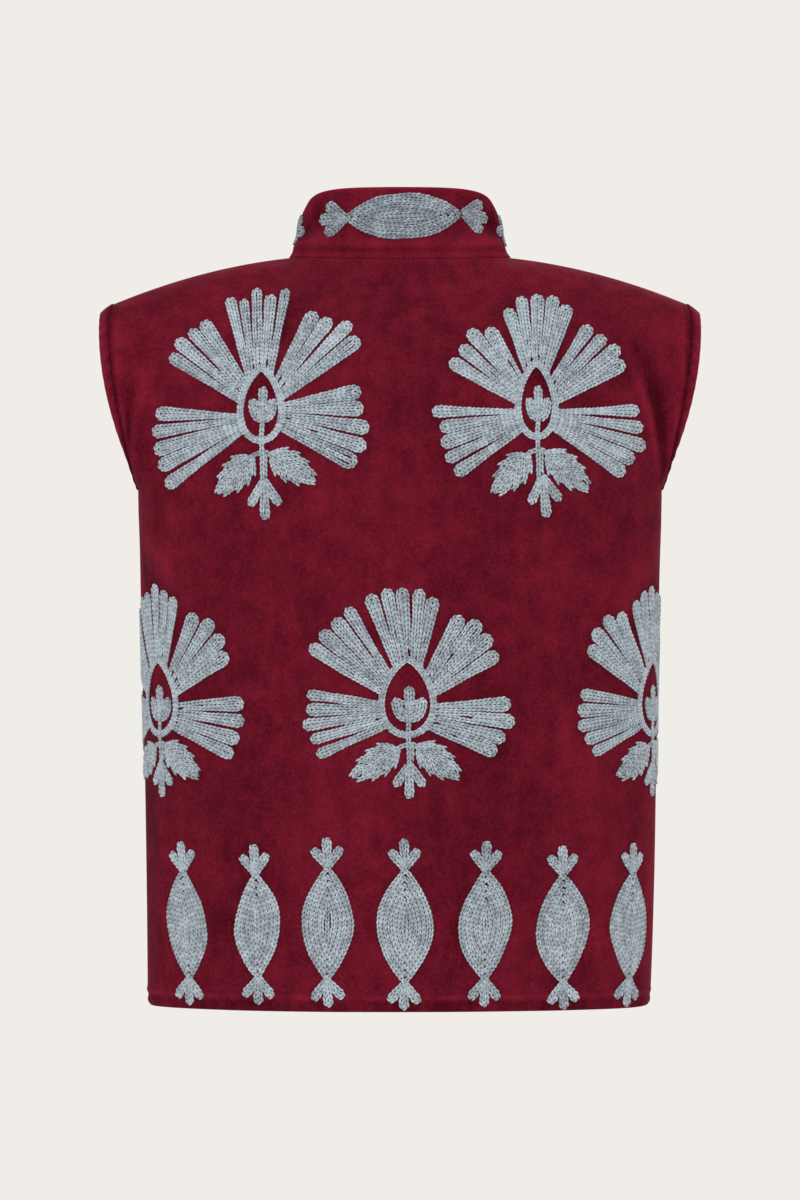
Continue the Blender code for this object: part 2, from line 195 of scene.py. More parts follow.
def fold_height(around, z):
    total = np.zeros(np.broadcast(around, z).shape)
    for row in FOLDS:
        fold = dict(zip(FOLD_COLUMNS, row))
        away = (around - fold["around"] + 2.0) % 4.0 - 2.0
        bump = np.exp(-((away / fold["half_width"]) ** 2) * 2.0)
        hang = soft_step((fold["fade_top"] - z) / (fold["fade_top"] - HEM_Z))
        total = total + fold["depth"] * bump * hang
    return total


def body_ring(face, side, share, z):
    """Cloth of the body at height z. face is 1 on the back and -1 on the fronts."""
    low = (CHEST_Z - z) / (CHEST_Z - HEM_Z)
    depths = BACK_DEPTHS if face > 0 else FRONT_DEPTHS
    half_width = blend(CHEST_HALF_WIDTH, HEM_HALF_WIDTH, low)
    x, y = quarter_ring(half_width, blend(*depths, low), share)
    around = side * (share if face > 0 else 2.0 - share)
    push = 1.0 + fold_height(around, z) / np.hypot(x, y)
    return np.stack([side * x * push, face * y * push, np.full_like(x, z)], axis=-1)


def shoulder_z(x):
    run = x - NECK_HALF_WIDTH
    return -(SHOULDER_SLOPE * run + SHOULDER_CURVE * run**2)


def neckline(turn):
    """The seam under the collar, from the centre back (0) to the centre front (pi)."""
    forward = np.maximum(-np.cos(turn), 0.0)
    depth = np.where(turn <= math.pi / 2, BACK_NECK_DEPTH, FRONT_NECK_DEPTH)
    drop = FRONT_NECK_DROP * forward**FRONT_NECK_BEND
    drop = drop + BACK_NECK_DROP * np.maximum(np.cos(turn), 0.0) ** 2
    return np.stack([NECK_HALF_WIDTH * np.sin(turn), depth * np.cos(turn), -drop], axis=-1)


def column_shares(finer):
    neck = NECK_HALF_WIDTH / SHOULDER_SEAM_END
    inner = np.linspace(0.0, neck, NECK_CELLS * finer + 1)
    outer = np.linspace(neck, 1.0, SHOULDER_CELLS * finer + 1)[1:]
    return np.concatenate([inner, outer])


FRONT_EDGE_TURN = math.pi - math.asin(FRONT_OPENING / 2 / NECK_HALF_WIDTH)


def top_line(face, finer):
    """Neckline and shoulder seam from the centre to the armhole."""
    start = 0.0 if face > 0 else FRONT_EDGE_TURN
    neck = neckline(np.linspace(start, math.pi / 2, NECK_CELLS * finer + 1))
    x = np.linspace(NECK_HALF_WIDTH, SHOULDER_SEAM_END, SHOULDER_CELLS * finer + 1)[1:]
    shoulder = np.stack([x, np.zeros_like(x), shoulder_z(x)], axis=-1)
    return np.concatenate([neck, shoulder])


def armhole_seam(face, z):
    top = shoulder_z(SHOULDER_SEAM_END)
    middle = (top + CHEST_Z) / 2
    half = (top - CHEST_Z) / 2
    reach = ARMHOLE_REACH_BACK if face > 0 else ARMHOLE_REACH_FRONT
    y = reach * np.sqrt(np.maximum(1.0 - ((z - middle) / half) ** 2, 0.0))
    low = np.clip((FLARE_TOP_Z - z) / (FLARE_TOP_Z - CHEST_Z), 0.0, 1.0)
    near_top = np.clip((z - FLARE_TOP_Z) / (top - FLARE_TOP_Z), 0.0, 1.0)
    widest = CHEST_HALF_WIDTH + ARMHOLE_FLARE
    x = widest - ARMHOLE_FLARE * low**ARMHOLE_FLARE_POWER
    x = x - (widest - SHOULDER_SEAM_END) * near_top**2
    return np.stack([x, face * y, z], axis=-1)


def yoke_sections(face, share):
    """The upper part, a curve for each column from the chest to the neckline or shoulder."""
    step = 0.001
    low = body_ring(face, 1.0, share, CHEST_Z)
    lean = (low - body_ring(face, 1.0, share, CHEST_Z - step)) / step
    high = top_line(face, 1)
    roundness = BACK_ROUNDNESS if face > 0 else FRONT_ROUNDNESS
    rise = (high[:, 2] - low[:, 2])[:, None]
    run = np.abs(high[:, 1] - low[:, 1])[:, None]
    neck_share = NECK_HALF_WIDTH / SHOULDER_SEAM_END
    inside = np.clip(1.0 - (share / neck_share) ** 2, 0.0, 1.0)
    pitch = (BACK_NECK_PITCH if face > 0 else FRONT_NECK_PITCH) * inside
    arrive = np.stack([0 * pitch, -face * np.cos(pitch), np.sin(pitch)], axis=-1)
    start = lean * rise * roundness
    end = arrive * np.hypot(run, rise * np.sin(pitch)[:, None]) * roundness
    t = (np.arange(1, YOKE_CELLS + 1) / YOKE_CELLS) ** YOKE_SPREAD
    t = t[:, None, None]
    points = low * (2 * t**3 - 3 * t**2 + 1) + start * (t**3 - 2 * t**2 + t)
    points = points + high * (3 * t**2 - 2 * t**3) + end * (t**3 - t**2)
    outermost = points[:, -1]
    pull = armhole_seam(face, outermost[:, 2]) - outermost
    narrowness = 1.5 + 6.0 * (1.0 - t[:, :, 0]) ** 2
    near_hole = soft_step((share - CAP_START) / (1.0 - CAP_START))[None, :] ** narrowness
    points = points + pull[:, None, :] * near_hole[:, :, None]
    hold = 0.25 * np.clip(6.0 * t[:, :, 0] ** 2 * (1.0 - t[:, :, 0]), 0.0, 1.0)
    for _ in range(EASING):
        padded = np.concatenate([points[:, 1:2], points], axis=1)
        bend = padded[:, :-2] - 2.0 * padded[:, 1:-1] + padded[:, 2:]
        points[:, :-1, 1:] += hold[..., None] * bend[..., 1:]
    return points


def smooth_between(points, finer):
    """More points on the smooth curves through the first axis of a grid of points."""
    ends = np.concatenate([2 * points[:1] - points[1:2], points, 2 * points[-1:] - points[-2:-1]])
    t = (np.arange(finer) / finer).reshape((finer,) + (1,) * (points.ndim - 1))
    parts = []
    for i in range(len(points) - 1):
        a, b, c, d = ends[i : i + 4]
        curve = 2 * b + (c - a) * t + (2 * a - 5 * b + 4 * c - d) * t**2
        parts.append((curve + (3 * b - a - 3 * c + d) * t**3) / 2)
    return np.concatenate([*parts, points[-1:]])


HEM_DETAIL = 0.018
HEM_STEP = 0.0012
SAME_PLACE = 0.00005
SHARP_FOLD = math.radians(62)
SOFT_FOLD = math.radians(48)


def half_body(face, side):
    """Half the back or one front as rows of points from the hem up, with places around."""
    share = column_shares(1)
    fine_share = column_shares(FINER)
    if face < 0:
        x, _ = quarter_ring(CHEST_HALF_WIDTH, FRONT_DEPTHS[0], share[1:2])
        share[0] = share[1] * (FRONT_OPENING / 2) / x[0]
        fine_share[: FINER + 1] = np.linspace(share[0], share[1], FINER + 1)
    below = CHEST_Z - (CHEST_Z - HEM_Z) / BODY_ROWS * 3
    sections = np.stack([body_ring(face, 1.0, share, z) for z in (below, CHEST_Z)])
    sections = np.concatenate([sections, yoke_sections(face, share)])
    rows = smooth_between(sections, FINER)[FINER:]
    across = rows.transpose(1, 0, 2)
    even = smooth_between(across, FINER)
    corner = NECK_CELLS
    neck_part = smooth_between(across[: corner + 1], FINER)
    shoulder_part = smooth_between(across[corner:], FINER)
    sharp = np.concatenate([neck_part[:-1], shoulder_part])
    nearness = (np.arange(len(rows)) / (len(rows) - 1))[None, :, None] ** 8
    upper = blend(even, sharp, nearness).transpose(1, 0, 2)
    upper[-1] = top_line(face, FINER)
    upper = upper * np.array([side, 1.0, 1.0])
    hem_heights = HEM_Z + np.arange(0.0, HEM_DETAIL, HEM_STEP)
    heights = np.linspace(HEM_Z + HEM_DETAIL, CHEST_Z, BODY_ROWS + 1)[:-1]
    heights = np.concatenate([hem_heights, heights])
    body = np.stack([body_ring(face, side, fine_share, z) for z in heights])
    points = np.concatenate([body, upper])
    around = side * (fine_share if face > 0 else 2.0 - fine_share) * QUARTER_GIRTH
    return points, np.broadcast_to(around, points.shape[:2])


def quarter_length(half_width, depth):
    x, y = quarter_ring(half_width, depth, np.linspace(0.0, 1.0, 400))
    return float(np.sum(np.hypot(np.diff(x), np.diff(y))))


QUARTER_GIRTH = quarter_length(CHEST_HALF_WIDTH, BACK_DEPTHS[0])


def outward(points, direction):
    """Unit normals of a grid of points, on the side that a direction points to."""
    normal = unit(np.cross(np.gradient(points, axis=1), np.gradient(points, axis=0)))
    middle = normal[points.shape[0] // 2, points.shape[1] // 2]
    return normal * (1.0 if np.dot(middle, direction) > 0 else -1.0)


def crease_lift(along, up, creases):
    """Heights of soft troughs and ridges, each along its own line on the cloth."""
    lift = np.zeros(along.shape)
    for row in creases:
        crease = dict(zip(CREASE_COLUMNS, row))
        start = np.array([crease["around"], crease["height"]]) / 1000
        run = np.array([crease["to_around"], crease["to_height"]]) / 1000 - start
        place = np.stack([along - start[0], up - start[1]], axis=-1)
        share = np.clip(place @ run / (run @ run), 0.0, 1.0)
        away = np.linalg.norm(place - share[..., None] * run, axis=-1)
        taper = np.sin(np.pi * np.clip(share, 0.02, 0.98)) ** 0.7
        lift += crease["depth"] / 1000 * taper * bell(away, crease["half_width"] / 1000)
    return lift


def edit_whole_mesh(operator, **options):
    """Run one mesh operator on everything in the active mesh."""
    bpy.ops.object.mode_set(mode="EDIT")
    bpy.ops.mesh.select_all(action="SELECT")
    operator(**options)
    bpy.ops.object.mode_set(mode="OBJECT")


def cloth_sheet(name, points, painted_shading, closed=False):
    """A flat grid of cloth, moved onto its form, with the painted light and shade of its pile."""
    rows, columns = points.shape[:2]
    bpy.ops.object.select_all(action="DESELECT")
    bpy.ops.mesh.primitive_grid_add(
        x_subdivisions=columns - 1, y_subdivisions=rows - 1, size=1, location=(0, 0, 0)
    )
    sheet = bpy.context.object
    sheet.name = name
    sheet.data.vertices.foreach_set("co", points.reshape(-1).astype(np.float32))
    shading_layer = sheet.data.attributes.new("painted_shading", "FLOAT", "POINT")
    shading_layer.data.foreach_set("value", painted_shading.reshape(-1).astype(np.float32))
    sheet.data.update()
    if closed:
        edit_whole_mesh(bpy.ops.mesh.remove_doubles, threshold=SAME_PLACE)
    return sheet


def turn_out(sheet, direction, place):
    """Face the sheet outwards at the face nearest a place."""
    faces = sheet.data.polygons
    nearest = min(faces, key=lambda face: (face.center - Vector(place)).length)
    if nearest.normal.dot(Vector(direction)) < 0:
        edit_whole_mesh(bpy.ops.mesh.flip_normals)


def give_thickness(sheet, thickness, edge, outside, inside):
    """Add the cloth's thickness inwards, round its edges over, and apply both."""
    sheet.data.materials.append(outside)
    sheet.data.materials.append(inside)
    wall = sheet.modifiers.new("thickness", "SOLIDIFY")
    wall.thickness = thickness
    wall.offset = -1
    wall.use_even_offset = True
    wall.material_offset = 1
    wall.material_offset_rim = 0
    round_over = sheet.modifiers.new("round_edge", "BEVEL")
    round_over.width = edge
    round_over.segments = 2
    round_over.limit_method = "ANGLE"
    round_over.angle_limit = SHARP_FOLD
    bpy.context.view_layer.objects.active = sheet
    bpy.ops.object.modifier_apply(modifier="thickness")
    bpy.ops.object.modifier_apply(modifier="round_edge")
    bpy.ops.object.shade_smooth_by_angle(angle=SOFT_FOLD)


def new_material(name, **values):
    """A material with some of its shader's sockets set, its node tree and its shader."""
    material = bpy.data.materials.new(name)
    material.use_nodes = True
    tree = material.node_tree
    shader = tree.nodes["Principled BSDF"]
    for label, value in values.items():
        shader.inputs[label.replace("_", " ")].default_value = value
    return material, tree, shader


def add_node(tree, kind, output, **values):
    """Add a node, set or feed its sockets, and give the output that is used of it."""
    node = tree.nodes.new(f"ShaderNode{kind}")
    for label, value in values.items():
        socket = node.inputs[label.replace("_", " ")]
        if isinstance(value, bpy.types.NodeSocket):
            tree.links.new(value, socket)
        else:
            socket.default_value = value
    return node.outputs[output]


def noise_node(tree, place, scale, detail, stretch=(1, 1, 1)):
    """Cloudy variation; scale counts features to a metre."""
    spread = add_node(tree, "Mapping", "Vector", Vector=place, Scale=stretch)
    return add_node(tree, "TexNoise", "Fac", Vector=spread, Scale=scale, Detail=detail)


def remap_node(tree, value, low, high, to_low, to_high):
    ends = {"From_Min": low, "From_Max": high, "To_Min": to_low, "To_Max": to_high}
    return add_node(tree, "MapRange", "Result", Value=value, **ends)


def weighted_sum(tree, total, *terms):
    """A value plus some others, each times its weight."""
    for value, weight in terms:
        node = tree.nodes.new("ShaderNodeMath")
        node.operation = "MULTIPLY_ADD"
        tree.links.new(value, node.inputs[0])
        node.inputs[1].default_value = weight
        if isinstance(total, bpy.types.NodeSocket):
            tree.links.new(total, node.inputs[2])
        else:
            node.inputs[2].default_value = total
        total = node.outputs[0]
    return total


def bands_node(tree, place, scale, distortion):
    """Slanting lines, for threads and fibres."""
    lines = add_node(tree, "TexWave", "Fac", Vector=place, Scale=scale, Distortion=distortion)
    lines.node.bands_direction = "DIAGONAL"
    return lines


def tones_node(tree, value, low, high, low_at=0.0, high_at=1.0):
    tones = add_node(tree, "ValToRGB", "Color", Fac=value)
    stops = tones.node.color_ramp.elements
    for stop, at, color in zip(stops, (low_at, high_at), (low, high)):
        stop.position = at
        stop.color = (*color, 1)
    return tones


def raise_surface(tree, shader, height, strength, distance):
    relief = add_node(tree, "Bump", "Normal", Height=height, Strength=strength, Distance=distance)
    tree.links.new(relief, shader.inputs["Normal"])


def velvet_pile_group():
    """Tones and relief of brushed pile: cloudy patches, short streaks, fine nap, painted light
    and shade.
    """
    group = bpy.data.node_groups.new("velvet_pile", "ShaderNodeTree")
    for label, way, kind in (
        ("Deep Tone", "INPUT", "NodeSocketColor"),
        ("Bright Tone", "INPUT", "NodeSocketColor"),
        ("Painted Shading", "INPUT", "NodeSocketFloat"),
        ("Color", "OUTPUT", "NodeSocketColor"),
        ("Height", "OUTPUT", "NodeSocketFloat"),
    ):
        group.interface.new_socket(label, in_out=way, socket_type=kind)
    inside = group.nodes.new("NodeGroupInput").outputs
    outside = group.nodes.new("NodeGroupOutput").inputs
    place = add_node(group, "TexCoord", "Object")
    patches = noise_node(group, place, 12, 3)
    clouds = noise_node(group, place, 60, 5)
    streaks = noise_node(group, place, 34, 5, stretch=(2.6, 2.6, 0.7))
    nap = noise_node(group, place, 420, 4)
    cloudy = ((patches, 0.20), (clouds, 0.28), (streaks, 0.18), (nap, 0.34))
    tone = remap_node(group, weighted_sum(group, 0.0, *cloudy), 0.41, 0.61, 0.16, 0.72)
    # The painted light and shade from the cloth lightens or darkens the tone.
    tone = weighted_sum(group, tone, (inside["Painted Shading"], 1.0))
    mixed = group.nodes.new("ShaderNodeMix")
    mixed.data_type = "RGBA"
    deep, bright, result = mixed.inputs[6], mixed.inputs[7], mixed.outputs[2]
    for source, target in (
        (tone, mixed.inputs["Factor"]),
        (inside["Deep Tone"], deep),
        (inside["Bright Tone"], bright),
        (result, outside["Color"]),
        (weighted_sum(group, 0.0, (nap, 0.35), (clouds, 1.6)), outside["Height"]),
    ):
        group.links.new(source, target)
    return group


def velvet_material():
    """Cotton velvet. The sheen is the light that the tips of the pile catch."""
    material, tree, shader = new_material(
        "burgundy_velvet",
        Roughness=0.92,
        Specular_IOR_Level=0.03,
        Sheen_Weight=0.08,
        Sheen_Roughness=0.45,
        Sheen_Tint=(1.0, 0.17, 0.28, 1),
    )
    pile = tree.nodes.new("ShaderNodeGroup")
    pile.node_tree = velvet_pile_group()
    pile.inputs["Deep Tone"].default_value = (0.051, 0.0020, 0.0066, 1)
    pile.inputs["Bright Tone"].default_value = (0.194, 0.0100, 0.0275, 1)
    # The painted light and shade stored on each piece of cloth.
    painted_shading = add_node(tree, "Attribute", "Fac")
    painted_shading.node.attribute_name = "painted_shading"
    tree.links.new(painted_shading, pile.inputs["Painted Shading"])
    tree.links.new(pile.outputs["Color"], shader.inputs["Base Color"])
    raise_surface(tree, shader, pile.outputs["Height"], 0.55, 0.0011)
    return material


def backing_material():
    """The velvet's wrong side, a plain cotton weave with its threads in sight."""
    material, tree, shader = new_material("velvet_wrong_side", Roughness=0.9)
    place = add_node(tree, "TexCoord", "Object")
    cloudy = noise_node(tree, place, 40, 4)
    tones = tones_node(tree, cloudy, (0.060, 0.006, 0.012), (0.120, 0.014, 0.026))
    tree.links.new(tones, shader.inputs["Base Color"])
    raise_surface(tree, shader, bands_node(tree, place, 260, 1.5), 0.3, 0.0004)
    return material


VELVET = velvet_material()
WRONG_SIDE = backing_material()


def below_top(points):
    """How far each point lies below the top edge of its column."""
    steps = np.linalg.norm(np.diff(points, axis=0), axis=-1)[::-1]
    return np.concatenate([np.zeros((1, points.shape[1])), np.cumsum(steps, axis=0)])[::-1]


# What the sewing does to the body's cloth, and the painted light and shade on its pile: depths
# and widths in metres, and painted tones, which make the pile lighter above nought and darker
# below it.
HEM_TROUGH = 0.0009
HEM_RIDGE = 0.0007
HEM_RIDGE_ABOVE = 0.0035
HEM_ROLL = 0.0028
HEM_ROLL_HEIGHT = 0.005
SIDE_SEAM_DEPTH = 0.0008
LINE_WIDTH = 0.0035
# Painted light on crease ridges and painted shade in their troughs, painted highlights along the
# hem's stitches, the neck edge and the armhole seams, and painted shade on the hem's roll and the
# side seams.
CREASE_PAINTED_SHADING = 170
HEM_LINE_PAINTED_HIGHLIGHT = 0.42
HEM_PAINTED_SHADE = -0.24
SIDE_SEAM_PAINTED_SHADE = -0.40
ARMHOLE_LINE_PAINTED_HIGHLIGHT = 0.40
ARMHOLE_LINE_IN = 0.010
NECK_EDGE_PAINTED_HIGHLIGHT = 0.15


def sewn_body(points, around, direction):
    """Creases, the trough where the hem's stitches draw the cloth in, and the fold's roll.

    It also gives the painted light and shade on the pile: painted highlights on ridges, above the
    hem's stitches, along the top edge and beside the armholes, and painted shade in troughs, on
    the side seams and on the hem.
    """
    z = points[..., 2]
    creases = crease_lift(around, z, BODY_CREASES)
    above_hem = z - HEM_Z
    above_line = above_hem - HEM_TURN
    waver = 0.7 + 0.3 * np.sin(around * 310 + 2 * np.sin(around * 97))
    streak = 0.6 + 0.4 * np.sin(z * 190 + 1.5 * np.sin(z * 83))
    to_side = np.abs(np.abs(around) - QUARTER_GIRTH)
    low = soft_step((CHEST_Z - z) / 0.02)
    seam = HEM_RIDGE * bell(above_line - HEM_RIDGE_ABOVE, 0.0025)
    seam -= HEM_TROUGH * bell(above_line, 0.0022)
    lift = creases + seam * waver
    lift -= HEM_ROLL * np.clip(1.0 - above_hem / HEM_ROLL_HEIGHT, 0.0, 1.0) ** 2
    lift -= SIDE_SEAM_DEPTH * bell(to_side, LINE_WIDTH) * low
    # Painted light and shade: lighter on ridges and edges, darker in troughs, on the side seams
    # and on the hem.
    painted_shading = CREASE_PAINTED_SHADING * creases + NECK_EDGE_PAINTED_HIGHLIGHT * bell(below_top(points), LINE_WIDTH)
    painted_shading += HEM_LINE_PAINTED_HIGHLIGHT * waver * bell(above_line - 0.0025, 0.0017)
    painted_shading += HEM_PAINTED_SHADE * waver * soft_step((0.001 - above_line) / 0.003)
    painted_shading += SIDE_SEAM_PAINTED_SHADE * bell(to_side, 0.0045) * (1.0 - 0.65 * low)
    painted_shading += ARMHOLE_LINE_PAINTED_HIGHLIGHT * streak * bell(to_side - ARMHOLE_LINE_IN, LINE_WIDTH) * (1.0 - low)
    return points + outward(points, direction) * lift[..., None], painted_shading


left_points, left_around = half_body(1, 1)
right_points, right_around = half_body(1, -1)
back_points = np.concatenate([right_points[:, :0:-1], left_points], axis=1)
back_around = np.concatenate([right_around[:, :0:-1], left_around], axis=1)
back_points, back_painted_shading = sewn_body(back_points, back_around, (0, 1, 0))
back = cloth_sheet("back_cloth", back_points, back_painted_shading)
turn_out(back, (0, 1, 0), (0, 0.11, -0.35))
give_thickness(back, CLOTH, CLOTH_EDGE, VELVET, WRONG_SIDE)
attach(back, "root")
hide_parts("back")

# The two fronts
# Cut like the back, each from the side seam to the centre front, where the edges meet. The
# velvet, the turned hem and the soft folds are the same.
front_points = {}
for side_name, side in (("left", 1), ("right", -1)):
    points, around = half_body(-1, side)
    front_points[side_name], front_painted_shading = sewn_body(points, around, (side * 0.3, -1, 0))
    front = cloth_sheet(f"front_{side_name}_cloth", front_points[side_name], front_painted_shading)
    turn_out(front, (0, -1, 0), (side * 0.08, -0.12, -0.35))
    give_thickness(front, CLOTH, CLOTH_EDGE, VELVET, WRONG_SIDE)
    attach(front, "root")
    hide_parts(f"front_{side_name}")

# The stand collar
# A doubled strip of the same velvet, folded at its top edge and sewn to the neckline. It leans
# in towards the neck, with a soft roll just above its seam.
COLLAR_THICKNESS = 0.0030
COLLAR_MIDDLE = 0.01
COLLAR_EDGE = 0.0012
COLLAR_TOP_HALF_WIDTH = 0.0740
COLLAR_TOP_BACK = 0.040
COLLAR_TOP_FRONT = 0.062
COLLAR_HEIGHT_BACK = 0.0545
COLLAR_DIP_SIDE = 0.0145
COLLAR_DIP_BEND = 2.2
COLLAR_DIP_FRONT = 0.0480
COLLAR_WAIST = 0.12
COLLAR_ROWS = 16
# Painted light on the collar's crease ridges, painted shade in its troughs, and painted
# highlights along its top fold and just above its seam.
COLLAR_CREASE_PAINTED_SHADING = 190
COLLAR_LINE = 0.0030
COLLAR_LINE_WIDTH = 0.0022
COLLAR_LINE_PAINTED_HIGHLIGHT = 0.50
COLLAR_CREASES = (
    (-100, 12, -30, 9, 5, 2.2),
    (-40, 10, 60, 12, 5, 2.0),
    (50, 11, 108, 9, 5, 2.1),
    (-112, 5, 112, 5, 3, -2.0),
    (-92, 14, -66, 44, 7, -2.0),
    (90, 14, 64, 42, 7, -2.1),
    (-74, 12, -52, 30, 6, 1.5),
    (76, 12, 50, 26, 6, 1.5),
    (112, 6, 218, 5, 3, -1.8),
    (-112, 6, -218, 5, 3, -1.8),
    (112, 12, 210, 11, 5, 2.0),
    (-112, 12, -206, 12, 5, 1.8),
    (128, 40, 150, 14, 6, -1.7),
    (-134, 42, -160, 16, 7, -1.5),
    (186, 38, 172, 12, 6, 1.4),
    (-190, 36, -178, 14, 6, -1.4),
)


def collar_half(side):
    back_turn = np.linspace(0.0, math.pi / 2, NECK_CELLS * FINER + 1)
    front_turn = np.linspace(math.pi / 2, FRONT_EDGE_TURN, NECK_CELLS * FINER + 1)[1:]
    turn = np.concatenate([back_turn, front_turn])
    base = neckline(turn)
    forward = np.maximum(-np.cos(turn), 0.0)
    depth = np.where(turn <= math.pi / 2, COLLAR_TOP_BACK, COLLAR_TOP_FRONT)
    side_dip = COLLAR_DIP_SIDE * (1.0 - np.maximum(np.cos(turn), 0.0)) ** COLLAR_DIP_BEND
    z = COLLAR_HEIGHT_BACK - side_dip - COLLAR_DIP_FRONT * forward**FRONT_NECK_BEND
    x = COLLAR_TOP_HALF_WIDTH * np.sin(turn)
    x[-1] = base[-1, 0]
    top = np.stack([x, depth * np.cos(turn), z], axis=-1)
    up = np.linspace(0.0, 1.0, COLLAR_ROWS + 1)[:, None, None]
    lean_in = up + COLLAR_WAIST * np.sin(2 * math.pi * up)
    points = base + (top - base) * np.concatenate([lean_in, lean_in, up], axis=2)
    return points * np.array([side, 1.0, 1.0])


collar_left = collar_half(1)
collar_right = collar_half(-1)
collar_points = np.concatenate([collar_right[:, :0:-1], collar_left], axis=1)
collar_along = lengths_along(collar_points[COLLAR_ROWS // 2])
collar_along = collar_along - collar_along[-1] / 2
collar_heights = np.linalg.norm(collar_points[-1] - collar_points[0], axis=1)
collar_up = np.linspace(0.0, 1.0, COLLAR_ROWS + 1)[:, None] * collar_heights[None, :]
collar_places = np.broadcast_to(collar_along, collar_up.shape)
collar_lift = crease_lift(collar_places, collar_up, COLLAR_CREASES)
collar_points = collar_points + outward(collar_points, (0, 1, 0)) * collar_lift[..., None]
# Painted light and shade on the collar, following its creases, with painted highlights at the top
# fold and the seam.
collar_painted_shading = COLLAR_CREASE_PAINTED_SHADING * collar_lift
for height in (collar_heights, COLLAR_LINE):
    collar_painted_shading += COLLAR_LINE_PAINTED_HIGHLIGHT * bell(collar_up - height, COLLAR_LINE_WIDTH)
collar = cloth_sheet("collar_cloth", collar_points, collar_painted_shading)
turn_out(collar, (0, 1, 0), (0, 0.045, 0.03))
give_thickness(collar, COLLAR_THICKNESS, COLLAR_EDGE, VELVET, VELVET)
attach(collar, "root")
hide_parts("collar")

# The armhole bands
# A bias strip of velvet bound round each armhole, about 9 mm wide, with the little slanting
# puckers that a bias strip takes where it is sewn round a curve.
BAND_THICKNESS = 0.0034
BAND_EDGE = 0.0012
BAND_PROUD = 0.0007
EDGE_TOP_Z = -0.0452
EDGE_BOTTOM_Z = -0.177
EDGE_REACH_BACK = 0.043
EDGE_REACH_FRONT = 0.047
EDGE_FLARE = 0.030
BAND_ROWS = 8
BAND_FINER = 6
PUCKERS = 31
PUCKER_LIFT = 0.00042
CROWN_LIFT = 0.0006
# Painted light and shade on the band: a little lighter all over, a painted highlight on its outer
# rim, painted shade along its seam, and lit and shaded slopes on the puckers.
BAND_PAINTED_LIGHT = 0.10
BAND_EDGE_PAINTED_HIGHLIGHT = 0.45
BAND_SEAM_PAINTED_SHADE = -0.50
PUCKER_PAINTED_SHADING = 0.40


def band_edge(face, seam):
    top = shoulder_z(SHOULDER_SEAM_END)
    rise = (seam[:, 2] - CHEST_Z) / (top - CHEST_Z)
    z = blend(EDGE_BOTTOM_Z, EDGE_TOP_Z, rise)
    reach = EDGE_REACH_BACK if face > 0 else EDGE_REACH_FRONT
    y = reach * np.sqrt(np.maximum(1.0 - (2.0 * rise - 1.0) ** 2, 0.0))
    low = (FLARE_TOP_Z - z) / (FLARE_TOP_Z - EDGE_BOTTOM_Z)
    x = CHEST_HALF_WIDTH + EDGE_FLARE * (1.0 - low**2)
    return np.stack([x, face * y, z], axis=-1)


def smooth_ring(parts):
    """One smooth closed line from a back part and a front part that share both ends."""
    points = np.concatenate([parts[0], parts[1][-2:0:-1]])
    wrapped = np.concatenate([points[-3:], points, points[:3]])
    return smooth_between(wrapped, BAND_FINER)[3 * BAND_FINER : -3 * BAND_FINER]


for side_name, side in (("left", 1), ("right", -1)):
    seams = []
    for face in (1, -1):
        share = column_shares(1)
        chest = body_ring(face, 1.0, share[-1:], CHEST_Z)
        seams.append(np.concatenate([chest, yoke_sections(face, share)[:, -1]]))
    edge = smooth_ring([band_edge(face, seam) for face, seam in zip((1, -1), seams)])
    across = np.linspace(0.0, 1.0, BAND_ROWS + 1)[:, None, None]
    band_points = blend(smooth_ring(seams)[None], edge[None], across)
    band_points = np.concatenate([band_points, band_points[:, :1]], axis=1)
    band_normal = outward(band_points, (1, 0, 0))
    ring = np.linspace(0, 2 * math.pi, band_points.shape[1])[None, :]
    across = across[:, :, 0]
    slant = ring * PUCKERS + across * 2.6
    uneven = 0.6 + 0.4 * np.sin(ring * 5 + 1.3 * side) * np.sin(ring * 3 + 0.4)
    crown = np.sin(math.pi * np.clip(across, 0.04, 0.96)) ** 0.5
    lift = PUCKER_LIFT * np.sin(slant) * uneven * crown + BAND_PROUD + CROWN_LIFT * crown
    away = band_points - band_points.mean(axis=(0, 1))
    away[..., 0] = 0.0
    sign = np.sign(np.sum(band_normal * away, axis=-1).mean())
    band_points = band_points + band_normal * sign * lift[..., None]
    band_points[:, -1] = band_points[:, 0]
    band_points = band_points * np.array([side, 1.0, 1.0])
    # Painted light and shade: lighter rim, darker seam, and lit and shaded slopes on the puckers.
    painted_shading = BAND_PAINTED_LIGHT + BAND_EDGE_PAINTED_HIGHLIGHT * across**3 + BAND_SEAM_PAINTED_SHADE * (1.0 - across) ** 4
    painted_shading = painted_shading + PUCKER_PAINTED_SHADING * np.maximum(np.sin(slant + 0.6), -0.3) * uneven * crown
    band = cloth_sheet(f"armhole_band_{side_name}_cloth", band_points, painted_shading, closed=True)
    turn_out(band, (0, 1, 0), (side * 0.235, 0.05, -0.11))
    give_thickness(band, BAND_THICKNESS, BAND_EDGE, VELVET, VELVET)
    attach(band, "root")
    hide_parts(f"armhole_band_{side_name}")

